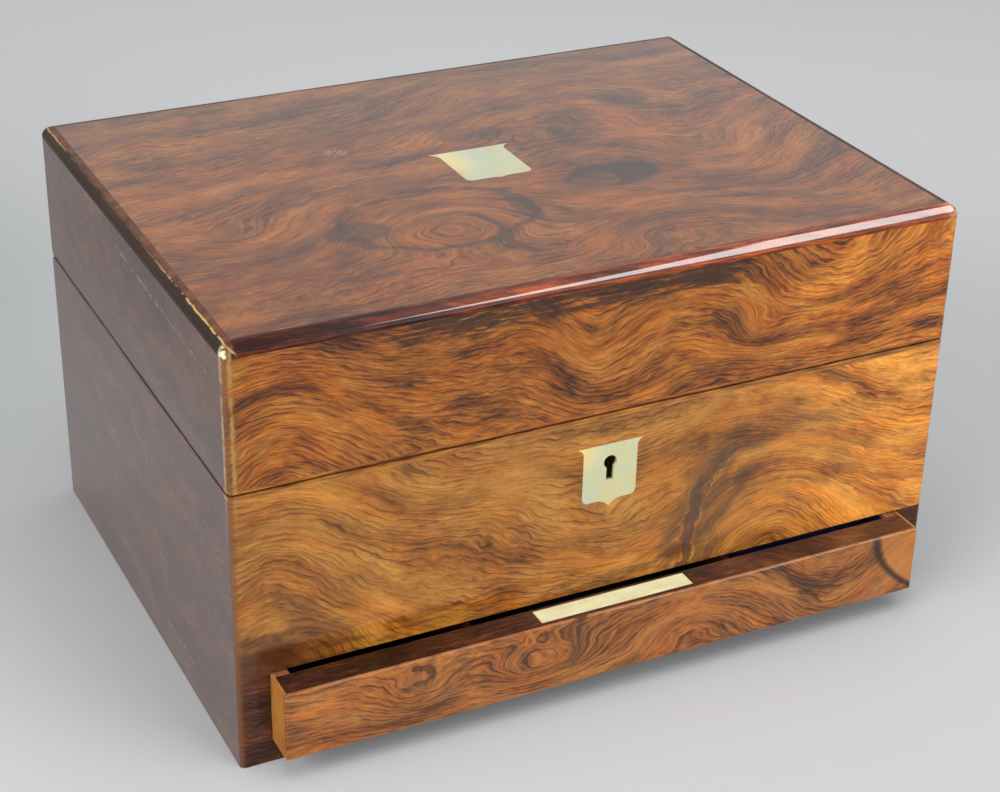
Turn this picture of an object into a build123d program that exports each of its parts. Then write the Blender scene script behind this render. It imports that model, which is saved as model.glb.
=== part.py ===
"""Victorian rosewood dressing box with a fitted interior and a sprung jewellery drawer.

Frame: millimetres, +X to the right, +Y to the back, +Z up. The origin is the middle of the
face that the box stands on. The box is drawn as it stands in use: lid shut, drawer sprung open.
"""

from build123d import *
import math
import os

# ---- the whole box ----
box_width = 305.0
box_depth = 225.0
box_height = 177.0
lid_line = 118.5          # middle of the gap between base and lid
rim_gap = 0.6
veneer = 1.2
carcass = 11.3            # thickness of the boards under the veneer
base_board = 9.2
base_cloth = 0.8
skirt_gap = 0.2           # the veneer stops this far above the table
corner_round = 2.2
top_round = 4.5
rim_round = 0.9
edge_strip = 5.0          # solid rosewood strip along the lid's top edges
lid_board = 8.8
base_facing = 2.0         # rosewood strip on the base's rim
lid_facing = 1.5          # rosewood strip on the lid's rim
bevel_angle = 48.0        # back edges of base and lid, which stop the open lid

# ---- drawer ----
drawer_open = 15.0        # how far the spring has pushed the drawer out
opening_height = 30.6
drawer_under = 0.3        # running gap under the drawer
drawer_over = 0.8         # gap over the drawer
drawer_side_gap = 0.3
drawer_front_board = 11.3
drawer_end_veneer = 1.0
drawer_side = 5.7
drawer_back_board = 5.0
drawer_floor = 3.0
drawer_behind = 7.0       # room for the flattened spring behind the shut drawer
drawer_lining = 0.8
partition_x = 58.0
partition_wall = 3.0
partition_drop = 2.5      # partitions stop this far below the drawer's top
ring_rolls = 9
ring_cushion_drop = 6.5
label_length = 67.0
label_width = 8.3
label_depth = 0.8
label_back_gap = 1.2      # from the label to the back of the drawer front
catch_length = 12.0
catch_thick = 0.8
catch_width = 4.8
catch_hole_clear = 0.25
drawer_floor_lift = 0.8
drawer_back_drop = 1.5
lining_drop = 1.8         # from the drawer's top to the top of its lining
drawer_edge = 0.35
ring_waist = 5.0
cushion_clear = 0.3

# ---- divider over the drawer, fitted frame and cells ----
divider = 4.4
frame_clear = 0.2
frame_wall = 3.0
frame_drop = 1.2          # the frame stops this far below the rim
column_width = 55.8       # cells at the left and right ends
end_cell_depth = 60.3     # cells in the four corners
long_cell_depth = 49.3    # cell for the long jar
pad = 1.0                 # velvet pads on the cell floors
cell_lining = 0.8
cell_lining_drop = 4.0

# ---- release pin ----
pin_radius = 1.5
pin_hole_clear = 0.1
pin_from_wall = 4.0       # from the pin's middle to the right wall
pin_from_back = 11.0
pin_travel = 7.5
pin_engage = 6.0          # how far the lowered pin enters the drawer side
pin_knob_radius = 2.8
pin_knob_height = 5.0
pin_post = 8.0

# ---- drawer spring ----
spring_thick = 0.8
spring_height = 12.0
spring_chord = 110.0
spring_foot = 14.0
spring_clear = 0.3
spring_screw_gap = 6.4

# ---- hinges ----
hinge_inset = 4.0         # from the back face to the hinge axis
hinge_x = 92.0
hinge_length = 38.0
leaf_thick = 1.8
leaf_margin = 0.3         # leaf edge to the wall's inner face
knuckle_radius = 2.4
knuckle_count = 5
knuckle_gap = 0.25
knuckle_clear = 0.3
hinge_pin_radius = 1.0
hinge_pin_clear = 0.05
hinge_screw_pitch = 13.0

# ---- screws ----
screw_head_radius = 2.1
screw_head_height = 1.3
screw_shank_radius = 1.1
screw_length = 8.0
screw_clear = 0.05
screw_slot_width = 0.5
screw_slot_depth = 0.5

# ---- keyhole plate and shield of mother of pearl ----
plate_width = 28.7
plate_body = 23.4
plate_above_key = 8.0
plate_height = 27.4
plate_ear = 3.0
plate_corner = 2.5
plate_point = 2.8
plate_point_half = 5.2
shield_width = 37.0
shield_body = 29.0
shield_height = 31.8
shield_ear = 4.0
shield_corner = 2.5
shield_point = 1.0
shield_point_half = 5.0
shield_top_y = 16.5
pearl = 1.2
key_drop = 21.2           # from the base's rim down to the keyhole's round part
key_circle = 2.8
key_slot_width = 3.2
key_slot_drop = 7.8

# ---- lock ----
lock_width = 52.0
lock_below_key = 9.0
lock_back_gap = 0.6       # from the cap plate to the wall's inner face
lock_wood = 2.8           # wood left in front of the lock
lock_wall = 1.0
lock_cap = 0.8
selvedge_width = 60.0
selvedge_thick = 1.3
lock_screw_shift = 0.3
stud_left = -15.0
stud_right = 4.0
bolt_left = -20.0
bolt_right = 14.0
bolt_foot = 1.2
link_x = 9.0
link_plate_width = 34.0
link_thick = 2.0
link_depth = 5.0
link_drop = 7.2
link_hole = 2.6
link_clear = 0.4
bolt_thick = 2.4
bolt_travel = 4.0
bolt_tongue = 2.0
bolt_strip = 3.0
bolt_riser = 2.0
bolt_clear = 0.6           # from a link to the bolt beside it
bolt_head_gap = 0.2
stud_radius = 1.1
stud_clear = 0.1
key_pin_radius = 1.2

# ---- mirror in the lid ----
mirror_behind = 10.0      # room for letters between the mirror frame and the lid's board
mirror_frame_width = 14.0
mirror_frame_thick = 9.0
mirror_lip = 4.0
mirror_lip_thick = 2.5
mirror_glass = 3.0
mirror_backing = 2.3
mirror_clear = 0.2
mirror_rail = 9.6
rail_width = 8.0
back_lip = 3.0
button_length = 13.0
button_width = 5.0
button_thick = 1.2
button_tail = 2.6
button_pivot_gap = 4.6
button_screw_radius = 1.0
button_screw_depth = 6.0
button_head = 0.9
lid_lining_gap = 0.6
lip_height = 3.0

# ---- lift-out tray ----
tray_clear = 0.5
tray_height = 22.0
tray_wall = 3.0
tray_floor = 2.5
tray_drop = 1.0           # the tray's top lies this far below the frame's top
tray_side_bay = 32.0
tray_pad_drop = 9.0
tray_ledge = 3.0
tray_ledge_height = 5.0
tray_notch = 11.0
tool_count = 5
tool_edge = 9.5           # from the bed's sides to the middles of the outer tools
tool_end_gap = 13.3       # from the tools' tips to the bed's back edge
tool_handle_radius = 3.4
tool_blade_length = 52.0
tool_blade_width = 4.0
tool_blade_thick = 1.2
tool_hook_radius = 2.6
tool_margin = 7.0         # from the bed's front edge to the handles' ends
tool_lift = 0.6           # the tools' middle lies this far above the bed's top
tool_tang = 8.0
tool_handle_thick = 4.8
tool_slot_clear = 0.4

# ---- glass jars and their plated tops ----
jar_side_gap = 4.5
jar_wall = 3.0
jar_base = 5.0
jar_corner = 5.0
bottle_body = 43.0
bottle_height = 42.0
bottle_shoulder = 6.0
bottle_neck_radius = 10.5
bottle_bore = 7.5
bottle_neck_height = 9.0
bottle_shift = 1.8        # towards the middle, clear of the pin's post
bottle_cap_radius = 14.0
bottle_cap_height = 17.0
jar_body_height = 46.0
jar_neck_height = 6.0
jar_neck_inset = 2.4
lid_shell = 1.0
lid_fit = 0.3
cap_seat = 0.2
cap_top_round = 1.8
jar_lid_height = 12.0
jar_lid_chamfer = 1.2
long_jar_height = 46.0

# ---- places worked out from the sizes above ----
half_w = box_width / 2
half_d = box_depth / 2
base_rim = lid_line - rim_gap / 2
lid_rim = lid_line + rim_gap / 2
core_w = half_w - veneer
core_d = half_d - veneer
well_w = core_w - carcass
well_d = core_d - carcass
floor_top = base_cloth + base_board
opening_top = floor_top + opening_height
well_floor = opening_top + divider
axis_y = half_d - hinge_inset
lid_ceiling = box_height - veneer - lid_board

pin_x = well_w - pin_from_wall
pin_y = well_d - pin_from_back
key_height = base_rim - key_drop
plate_top = key_height + plate_above_key
lock_bottom = key_height - lock_below_key

drawer_z0 = floor_top + drawer_under
drawer_z1 = opening_top - drawer_over
drawer_half = well_w - drawer_side_gap
drawer_face = -half_d - drawer_open
drawer_front_back = drawer_face + veneer + drawer_front_board
drawer_end = well_d - drawer_behind - drawer_open
drawer_core = drawer_half - drawer_end_veneer
drawer_inner = drawer_core - drawer_side
drawer_inner_back = drawer_end - drawer_back_board

frame_w = well_w - frame_clear
frame_d = well_d - frame_clear
frame_top = base_rim - frame_drop
cell_w = frame_w - frame_wall
cell_d = frame_d - frame_wall
column_x = cell_w - column_width
centre_half = column_x - frame_wall
end_cell_y = cell_d - end_cell_depth
long_cell_y = cell_d - long_cell_depth
tray_back = long_cell_y - frame_wall
tray_half = centre_half - tray_clear
tray_y0, tray_y1 = -cell_d + tray_clear, tray_back - tray_clear
tray_z0 = frame_top - tray_drop - tray_height
bed_half = tray_half - tray_side_bay - 2 * tray_wall
bed_length = tray_y1 - tray_y0 - 2 * tray_wall
tool_pitch = 2 * (bed_half - tool_edge) / (tool_count - 1)
tool_handle_length = bed_length - tool_margin - tool_blade_length - tool_end_gap

lock_front = -core_d + lock_wood
lock_inner = -well_d - lock_back_gap
lock_top = base_rim - selvedge_thick
bolt_y = (lock_front + lock_inner) / 2 + 0.1
mirror_z = lid_ceiling - mirror_behind - mirror_frame_thick
mirror_front = -well_d + mirror_rail + mirror_clear

front, back, left, right = "front", "back", "left", "right"


# ---- helpers ----
def block(x0, x1, y0, y1, z0, z1):
    """A box between two corners."""
    middle = Pos((x0 + x1) / 2, (y0 + y1) / 2, (z0 + z1) / 2)
    return middle * Box(abs(x1 - x0), abs(y1 - y0), abs(z1 - z0))


def rod(radius, start, direction, length):
    """A round rod that begins at start and runs along direction."""
    return extrude(Plane(start, z_dir=direction) * Circle(radius), length)


def mitred_side(side, x0, x1, y0, y1, width, z0, z1):
    """One side of a rectangular frame whose corners are mitred."""
    ax, bx, ay, by = x0 + width, x1 - width, y0 + width, y1 - width
    corners = {
        front: [(x0, y0), (x1, y0), (bx, ay), (ax, ay)],
        back: [(x1, y1), (x0, y1), (ax, by), (bx, by)],
        left: [(x0, y1), (x0, y0), (ax, ay), (ax, by)],
        right: [(x1, y0), (x1, y1), (bx, by), (bx, ay)],
    }[side]
    return extrude(Pos(0, 0, z0) * make_face(Polyline(*corners, close=True)), z1 - z0)


def mitred_frame(x0, x1, y0, y1, width, z0, z1):
    """All four sides of a mitred frame, as a list."""
    return [mitred_side(s, x0, x1, y0, y1, width, z0, z1) for s in (front, back, left, right)]


def trim(pieces, shape):
    """Each piece cut to the part of it that lies inside shape."""
    return [p & shape for p in pieces]


def cut(pieces, tools):
    """Each piece with every tool taken out of it."""
    return [p - tools for p in pieces]


def one(pieces):
    """Separate solids gathered for one file."""
    solids = [s for p in pieces for s in p.solids()]
    return Compound(children=solids)


def outline_face(width, body, height, ear, corner, point, point_half, top):
    """Shield outline: a straight top, flared ears, round lower corners and a small point."""
    wide = width / 2
    half = body / 2
    tip = top - height
    shoulder = tip + point
    slope = (wide - half) / ear
    ear_mid = ((wide + 3 * half) / 4, top - ear * min(0.45, 0.32 * slope + 0.2))
    right_half = Wire(
        [
            Line((0, top), (wide, top)),
            ThreePointArc((wide, top), ear_mid, (half, top - ear)),
            Line((half, top - ear), (half, shoulder + corner)),
            RadiusArc((half, shoulder + corner), (half - corner, shoulder), corner),
            Line((half - corner, shoulder), (point_half, shoulder)),
            ThreePointArc((point_half, shoulder), (point_half * 0.4, tip + point * 0.65), (0, tip)),
        ]
    )
    left_half = right_half.mirror(Plane.YZ)
    return make_face([*right_half.edges(), *left_half.edges()])


def keyhole_tool(y0, y1):
    """The keyhole's shape, cut from y0 to y1: a round hole over a straight slot."""
    round_part = rod(key_circle, (0, y0, key_height), (0, 1, 0), y1 - y0)
    half = key_slot_width / 2
    slot = block(-half, half, y0, y1, key_height - key_slot_drop, key_height)
    return round_part + slot


def screw(place, inward, clear=0.0, length=screw_length):
    """A countersunk wood screw whose head lies flush at place and whose shank runs inward."""
    profile = Polyline(
        (0, 0),
        (screw_head_radius + clear, 0),
        (screw_shank_radius + clear, screw_head_height + clear),
        (screw_shank_radius + clear, length - screw_shank_radius),
        (0, length + clear),
        close=True,
    )
    turned = revolve(Plane.XZ * make_face(profile), Axis.Z)
    body = Plane(place, z_dir=inward) * turned
    if clear:
        return body
    reach = screw_head_radius * 2.2
    slot = Plane(place, z_dir=inward) * Box(reach, screw_slot_width, 2 * screw_slot_depth)
    return body - slot


# ---- outer shapes that trim the veneers and strips ----
def base_shape():
    """The base as one block with rounded corners, a rounded rim and the bevelled back edge."""
    body = block(-half_w, half_w, -half_d, half_d, skirt_gap, base_rim)
    body = fillet(body.edges().filter_by(Axis.Z), corner_round)
    rim = body.faces().sort_by(Axis.Z)[-1].outer_wire().edges()
    return fillet(rim, rim_round) - back_bevel()


def lid_shape():
    """The lid as one block with round top edges, rounded corners and the bevelled back edge."""
    body = block(-half_w, half_w, -half_d, half_d, lid_rim, box_height)
    body = fillet(body.faces().sort_by(Axis.Z)[-1].edges(), top_round)
    upright = [e for e in body.edges().filter_by(Axis.Z) if e.length > top_round]
    body = fillet(upright, corner_round)
    return body - back_bevel()


def back_bevel():
    """The V-shaped groove along the back: its two faces meet at the hinge axis."""
    reach = hinge_inset + 1
    rise = reach * math.tan(math.radians(bevel_angle))
    corners = Polyline(
        (axis_y, lid_line),
        (axis_y + reach, lid_line + rise),
        (axis_y + reach, lid_line - rise),
        close=True,
    )
    groove = extrude(Plane.YZ * make_face(corners), half_w + 1, both=True)
    return groove


# ---- hinge pieces ----
hinge_places = [-hinge_x, hinge_x]
knuckle_length = hinge_length / knuckle_count
leaf_inner = well_d + leaf_margin


def knuckle_spans(x, of_lid):
    """Start and end of each knuckle that belongs to the lid leaf or to the base leaf."""
    start = x - hinge_length / 2
    spans = []
    for n in range(knuckle_count):
        if (n % 2 == 1) == of_lid:
            x0 = start + n * knuckle_length + knuckle_gap / 2
            spans.append((x0, x0 + knuckle_length - knuckle_gap))
    return spans


def hinge_leaf(x, of_lid):
    """One leaf with its knuckles, bored for the pin."""
    z0, z1 = (lid_rim, lid_rim + leaf_thick) if of_lid else (base_rim - leaf_thick, base_rim)
    clear_edge = axis_y - knuckle_radius - knuckle_clear
    leaf = block(x - hinge_length / 2, x + hinge_length / 2, leaf_inner, clear_edge, z0, z1)
    bore_start = (x - hinge_length, axis_y, lid_line)
    bore = rod(hinge_pin_radius + hinge_pin_clear, bore_start, (1, 0, 0), 2 * hinge_length)
    for x0, x1 in knuckle_spans(x, of_lid):
        leaf += block(x0, x1, clear_edge - 1, axis_y, z0, z1)
        leaf += rod(knuckle_radius, (x0, axis_y, lid_line), (1, 0, 0), x1 - x0)
    leaf -= bore
    inward = (0, 0, 1) if of_lid else (0, 0, -1)
    holes = [screw(p, inward, clear=screw_clear) for p in hinge_screw_places(x, of_lid)]
    return leaf - holes


def hinge_screw_places(x, of_lid):
    """Middles of the three screw heads in one leaf."""
    y = (leaf_inner + axis_y - knuckle_radius) / 2
    z = lid_rim if of_lid else base_rim
    return [(x + n * hinge_screw_pitch, y, z) for n in (-1, 0, 1)]


def hinge_tools(of_lid):
    """What the hinges cut out of the wood: the leaf's bed, the knuckle's groove and the screws."""
    tools = []
    for x in hinge_places:
        half = hinge_length / 2
        if of_lid:
            z0, z1 = lid_rim - 1, lid_rim + leaf_thick
        else:
            z0, z1 = base_rim - leaf_thick, base_rim + 1
        tools.append(block(x - half, x + half, leaf_inner, axis_y, z0, z1))
        groove = rod(
            knuckle_radius + knuckle_clear,
            (x - half - knuckle_clear, axis_y, lid_line),
            (1, 0, 0),
            hinge_length + 2 * knuckle_clear,
        )
        tools.append(groove)
        inward = (0, 0, 1) if of_lid else (0, 0, -1)
        tools += [screw(p, inward, clear=screw_clear) for p in hinge_screw_places(x, of_lid)]
    return tools


# ---- base ----
lock_screw_x = (lock_width + selvedge_width) / 4 + lock_screw_shift
lock_mid_y = (lock_front + lock_inner) / 2


def lock_tools():
    """The lock's mortice, the bed of its top plate and the keyhole."""
    half = lock_width / 2
    mortice = block(-half, half, lock_front, -well_d + 1, lock_bottom, lock_top)
    bed_half = selvedge_width / 2
    bed = block(-bed_half, bed_half, lock_front, lock_inner, lock_top, base_rim + 1)
    holes = [screw((s * lock_screw_x, lock_mid_y, base_rim), (0, 0, -1), clear=screw_clear) for s in (-1, 1)]
    return [mortice, bed, keyhole_tool(-half_d - 1, lock_front + 1), *holes]


def pin_tool(z0, z1):
    """The hole that the release pin slides in."""
    return rod(pin_radius + pin_hole_clear, (pin_x, pin_y, z0), (0, 0, 1), z1 - z0)


def base_carcass(shape):
    """Bottom board, the four walls and the divider over the drawer."""
    wall_top = base_rim - base_facing
    tools = hinge_tools(False)
    bottom = block(-core_w, core_w, -core_d, core_d, base_cloth, floor_top)
    sides = [
        block(s * well_w, s * core_w, -core_d, core_d, floor_top, wall_top) for s in (-1, 1)
    ]
    rear = block(-well_w, well_w, well_d, core_d, floor_top, wall_top)
    face = block(-well_w, well_w, -core_d, -well_d, opening_top, wall_top)
    shelf = block(-well_w, well_w, -well_d, well_d, opening_top, well_floor)
    screw_holes = [screw(p, (0, 1, 0), clear=screw_clear) for p in spring_screw_places()]
    return {
        "bottom_board": [bottom],
        "base_side_walls": trim(sides, shape),
        "base_back_wall": cut(trim([rear], shape), tools + screw_holes),
        "base_front_wall": cut([face], lock_tools()),
        "drawer_divider": cut([shelf], [pin_tool(opening_top - 1, well_floor + 1)]),
    }


def base_skin(shape):
    """Veneers on the base, the rosewood strip on its rim and the cloth underneath."""
    wall_top = base_rim - base_facing
    upper = block(-half_w, half_w, -half_d, -core_d, opening_top, wall_top)
    upper = (upper & shape) - [keyhole_tool(-half_d - 1, -core_d + 1), pearl_plate_block(1.0)]
    posts = [
        block(s * well_w, s * half_w, -half_d, -core_d, floor_top, opening_top) for s in (-1, 1)
    ]
    rail = block(-half_w, half_w, -half_d, -core_d, 0, floor_top)
    sides = [block(s * core_w, s * half_w, -core_d, core_d, 0, wall_top) for s in (-1, 1)]
    rear = block(-half_w, half_w, core_d, half_d, 0, wall_top)
    facing = mitred_frame(-half_w, half_w, -half_d, half_d, half_w - well_w, wall_top, base_rim)
    facing = cut(trim(facing, shape), hinge_tools(False) + lock_tools())
    margin = veneer + 1.5
    cloth = block(-half_w + margin, half_w - margin, -half_d + margin, half_d - margin, 0, base_cloth)
    return {
        "front_veneer": [upper],
        "drawer_surround_veneer": trim([*posts, rail], shape),
        "base_outer_veneers": trim([*sides, rear], shape),
        "base_rim_facing": facing,
        "base_cloth": [cloth],
    }


def pearl_plate_block(extra=0.0):
    """The keyhole plate's solid; extra carries it past the veneer's face when it is a cutter."""
    face = Plane.XZ * outline_face(
        plate_width,
        plate_body,
        plate_height,
        plate_ear,
        plate_corner,
        plate_point,
        plate_point_half,
        plate_top,
    )
    moved = Pos(0, -half_d - extra, 0) * face
    return extrude(moved, amount=pearl + extra, dir=(0, 1, 0))


def pearl_shield_block(extra=0.0):
    """The shield in the lid's top, with its point towards the front."""
    face = outline_face(
        shield_width,
        shield_body,
        shield_height,
        shield_ear,
        shield_corner,
        shield_point,
        shield_point_half,
        shield_top_y,
    )
    moved = Pos(0, 0, box_height - pearl) * face
    return extrude(moved, amount=pearl + extra, dir=(0, 0, 1))


def lock_pieces():
    """Lock case with its top plate, the cap plate with the key pin, and the sliding bolt."""
    half = lock_width / 2
    case = block(-half, half, lock_front, lock_inner - lock_cap, lock_bottom, lock_top)
    hollow = block(
        -half + lock_wall,
        half - lock_wall,
        lock_front + lock_wall,
        lock_inner,
        lock_bottom + lock_wall,
        lock_top - bolt_head_gap,
    )
    plate_half = selvedge_width / 2
    plate = block(-plate_half, plate_half, lock_front, lock_inner, lock_top, base_rim)
    case = case - hollow + plate
    slots = [
        block(
            x - link_thick / 2 - link_clear,
            x + link_thick / 2 + link_clear,
            bolt_y - link_depth / 2 - link_clear,
            bolt_y + link_depth / 2 + link_clear,
            lock_top - 1,
            base_rim + 1,
        )
        for x in (-link_x, link_x)
    ]
    holes = [screw((s * lock_screw_x, lock_mid_y, base_rim), (0, 0, -1), clear=screw_clear) for s in (-1, 1)]
    case = case - [*slots, *holes, keyhole_tool(lock_front - 1, lock_front + lock_wall + 0.5)]
    for x in stud_places():
        case += rod(stud_radius, (x, lock_front + lock_wall / 2, bolt_mid), (0, 1, 0), stud_reach)
    cap = block(-half, half, lock_inner - lock_cap, lock_inner, lock_bottom, lock_top)
    pin = rod(key_pin_radius, (0, lock_front + 0.4, key_height), (0, 1, 0), lock_inner - lock_front - 1)
    return {"lock_case": [case], "lock_cap_plate": [cap + pin], "lock_bolt": [bolt_piece()]}


bolt_mid = lid_rim - link_drop - 2.6 - bolt_strip / 2
stud_reach = lock_inner - lock_cap - lock_front - lock_wall / 2 - 0.1


def stud_places():
    """Middles of the two studs that carry the bolt."""
    return [stud_left, stud_right]


def bolt_piece():
    """The bolt: a strip with two tongues that enter the lid's links, slotted for its studs."""
    y0, y1 = bolt_y - bolt_thick / 2, bolt_y + bolt_thick / 2
    z0, z1 = bolt_mid - bolt_strip / 2, bolt_mid + bolt_strip / 2
    bolt = block(bolt_left, bolt_right, y0, y1, z0 - bolt_foot, z1)
    tongue_z = link_hole_z() - bolt_tongue / 2
    for x in (-link_x, link_x):
        tip = x - link_thick / 2 - bolt_clear
        riser = tip - bolt_travel
        bolt += block(riser - bolt_riser, riser, y0, y1, z1 - 1, tongue_z + bolt_tongue)
        bolt += block(riser - bolt_riser, tip, y0, y1, tongue_z, tongue_z + bolt_tongue)
    for x in stud_places():
        bolt -= rod(stud_radius + stud_clear, (x, y0 - 1, bolt_mid), (0, 1, 0), bolt_thick + 2)
        bolt -= rod(stud_radius + stud_clear, (x - bolt_travel, y0 - 1, bolt_mid), (0, 1, 0), bolt_thick + 2)
        bolt -= block(
            x - bolt_travel,
            x,
            y0 - 1,
            y1 + 1,
            bolt_mid - stud_radius - stud_clear,
            bolt_mid + stud_radius + stud_clear,
        )
    talon = block(-bolt_travel, 1, y0 - 1, y1 + 1, z0 - 2 * bolt_foot, z0 - 0.2)
    return bolt - talon


def link_hole_z():
    """Height of the middle of the links' holes."""
    return lid_rim - link_drop + link_hole / 2 + 1.2


def link_plate_piece():
    """The plate on the lid's rim with two links that drop into the lock."""
    half = link_plate_width / 2
    plate = block(-half, half, lock_front, lock_inner, lid_rim, lid_rim + selvedge_thick)
    for x in (-link_x, link_x):
        link = block(
            x - link_thick / 2,
            x + link_thick / 2,
            bolt_y - link_depth / 2,
            bolt_y + link_depth / 2,
            lid_rim - link_drop,
            lid_rim + 0.2,
        )
        eye = link_hole / 2
        middle = link_hole_z()
        link -= block(x - 2, x + 2, bolt_y - eye - 0.2, bolt_y + eye + 0.2, middle - eye, middle + eye)
        plate += link
    return plate - [screw(p, (0, 0, 1), clear=screw_clear) for p in link_screw_places()]


def link_screw_places():
    """Middles of the two screw heads in the link plate."""
    return [(s * (link_plate_width / 2 - screw_head_radius - 1.0), lock_mid_y, lid_rim) for s in (-1, 1)]


def release_pin_piece():
    """The pin and its knob, pulled up."""
    tip = drawer_z1 - pin_engage + pin_travel
    shoulder = frame_top + pin_travel
    pin = rod(pin_radius, (pin_x, pin_y, tip), (0, 0, 1), shoulder - tip + 1)
    pin = chamfer(pin.edges().sort_by(Axis.Z)[0], pin_radius * 0.4)
    knob = rod(pin_knob_radius, (pin_x, pin_y, shoulder), (0, 0, 1), pin_knob_height)
    knob = fillet(knob.edges().sort_by(Axis.Z)[-1], pin_knob_radius * 0.6)
    return pin + knob


def spring_screw_places():
    """The two screws that hold the drawer spring's fixed foot to the back wall."""
    x = -spring_chord / 2 - spring_foot / 2
    z = (drawer_z0 + drawer_z1) / 2
    return [(x, well_d - spring_thick, z + s * spring_screw_gap / 2) for s in (-1, 1)]


def drawer_spring_piece():
    """A bowed steel strip behind the drawer: one foot screwed down, the other free to slide."""
    bow = well_d - drawer_end - spring_clear - spring_thick
    half = spring_chord / 2
    crown = well_d - spring_thick - bow
    face = well_d - spring_thick
    profile = make_face(
        [
            ThreePointArc((-half, face), (0, crown), (half, face)),
            Line((half, face), (half, well_d)),
            ThreePointArc((half, well_d), (0, crown + spring_thick), (-half, well_d)),
            Line((-half, well_d), (-half, face)),
        ]
    )
    z0 = (drawer_z0 + drawer_z1 - spring_height) / 2
    strip = extrude(Pos(0, 0, z0) * profile, spring_height)
    for s in (-1, 1):
        strip += block(s * (half + spring_foot), s * (half - 0.5), face, well_d, z0, z0 + spring_height)
    return strip - [screw(p, (0, 1, 0), clear=screw_clear) for p in spring_screw_places()]


# ---- fitted frame and what stands in it ----
def fitted_frame_pieces():
    """Thin rosewood walls that divide the well into cells, and the post round the release pin."""
    z0, z1 = well_floor, frame_top
    ring = mitred_frame(-frame_w, frame_w, -frame_d, frame_d, frame_wall, z0, z1)
    walls = []
    for s in (-1, 1):
        walls.append(block(s * centre_half, s * column_x, -cell_d, cell_d, z0, z1))
        for t in (-1, 1):
            y = t * end_cell_y
            walls.append(block(s * column_x, s * cell_w, y, y - t * frame_wall, z0, z1))
    walls.append(block(-centre_half, centre_half, tray_back, long_cell_y, z0, z1))
    post = block(cell_w - pin_post + frame_wall, cell_w, pin_y - pin_post / 2, cell_d, z0, z1)
    hole = pin_tool(z0 - 1, z1 + 1)
    ledges = []
    for s in (-1, 1):
        x = s * centre_half
        ledges.append(
            block(x, x - s * tray_ledge, -cell_d, tray_back, tray_z0 - tray_ledge_height, tray_z0)
        )
    return {"fitted_frame": cut(ring + walls + [post], [hole]), "tray_ledges": ledges}


def cell_boxes():
    """Inside corners (x0, x1, y0, y1) of every cell in the frame."""
    cells = []
    for s in (-1, 1):
        x0, x1 = sorted((s * column_x, s * cell_w))
        inner = end_cell_y - frame_wall
        cells += [(x0, x1, end_cell_y, cell_d), (x0, x1, -inner, inner), (x0, x1, -cell_d, -end_cell_y)]
    cells.append((-centre_half, centre_half, long_cell_y, cell_d))
    cells.append((-centre_half, centre_half, -cell_d, tray_back))
    return cells


def cell_pads():
    """A velvet pad on the floor of every cell, cut round the post of the release pin."""
    post = block(
        cell_w - pin_post + frame_wall, cell_w, pin_y - pin_post / 2, cell_d, well_floor - 1, frame_top
    )
    pads = [block(x0, x1, y0, y1, well_floor, well_floor + pad) for x0, x1, y0, y1 in cell_boxes()]
    return cut(pads, [post])


def middle_well_linings():
    """Velvet up the walls of the two open cells at the middle of the ends."""
    linings = []
    inner = end_cell_y - frame_wall
    for s in (-1, 1):
        x0, x1 = sorted((s * column_x, s * cell_w))
        top = frame_top - cell_lining_drop
        linings += mitred_frame(x0, x1, -inner, inner, cell_lining, well_floor + pad, top)
    return linings


def rounded_block(x, y, width, depth, z0, z1, corner):
    """An upright block with canted corners."""
    body = block(x - width / 2, x + width / 2, y - depth / 2, y + depth / 2, z0, z1)
    return chamfer(body.edges().filter_by(Axis.Z), corner)


corner_cell_x = (column_x + cell_w) / 2
bottle_x = corner_cell_x - bottle_shift
bottle_y = (end_cell_y + cell_d) / 2 - bottle_shift
jar_floor = well_floor + pad


def scent_bottle(side):
    """A square glass bottle with canted corners, a sloping shoulder and a round neck."""
    x, y = side * bottle_x, bottle_y
    top = jar_floor + bottle_height
    body = rounded_block(x, y, bottle_body, bottle_body, jar_floor, top, jar_corner)
    body = chamfer(body.faces().sort_by(Axis.Z)[-1].edges(), bottle_shoulder * 0.8)
    body = body + rod(bottle_neck_radius, (x, y, top - 1), (0, 0, 1), bottle_neck_height + 1)
    inner = bottle_body - 2 * jar_wall
    hollow_top = top - bottle_shoulder - jar_wall
    hollow = rounded_block(x, y, inner, inner, jar_floor + jar_base, hollow_top, jar_corner - 1)
    bore = rod(bottle_bore, (x, y, jar_floor + jar_base), (0, 0, 1), bottle_height + bottle_neck_height)
    return body - [hollow, bore]


def scent_cap(side):
    """The round plated cap over the bottle's neck."""
    x, y = side * bottle_x, bottle_y
    z0 = jar_floor + bottle_height + cap_seat
    cap = rod(bottle_cap_radius, (x, y, z0), (0, 0, 1), bottle_cap_height)
    cap = fillet(cap.edges().sort_by(Axis.Z)[-1], cap_top_round)
    room = bottle_neck_height + lid_fit
    return cap - rod(bottle_neck_radius + lid_fit, (x, y, z0 - 1), (0, 0, 1), room + 1)


def jar_body(x, y, width, depth, height):
    """An open glass jar with canted corners and a stepped-in neck."""
    top = jar_floor + height
    body = rounded_block(x, y, width, depth, jar_floor, top, jar_corner)
    inset = 2 * jar_neck_inset
    neck = rounded_block(x, y, width - inset, depth - inset, top - 1, top + jar_neck_height, jar_corner - 1)
    wide = inset + 2 * jar_wall
    hollow = rounded_block(
        x, y, width - wide, depth - wide, jar_floor + jar_base, top + jar_neck_height + 1, jar_corner - 2
    )
    return body + neck - hollow


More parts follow.
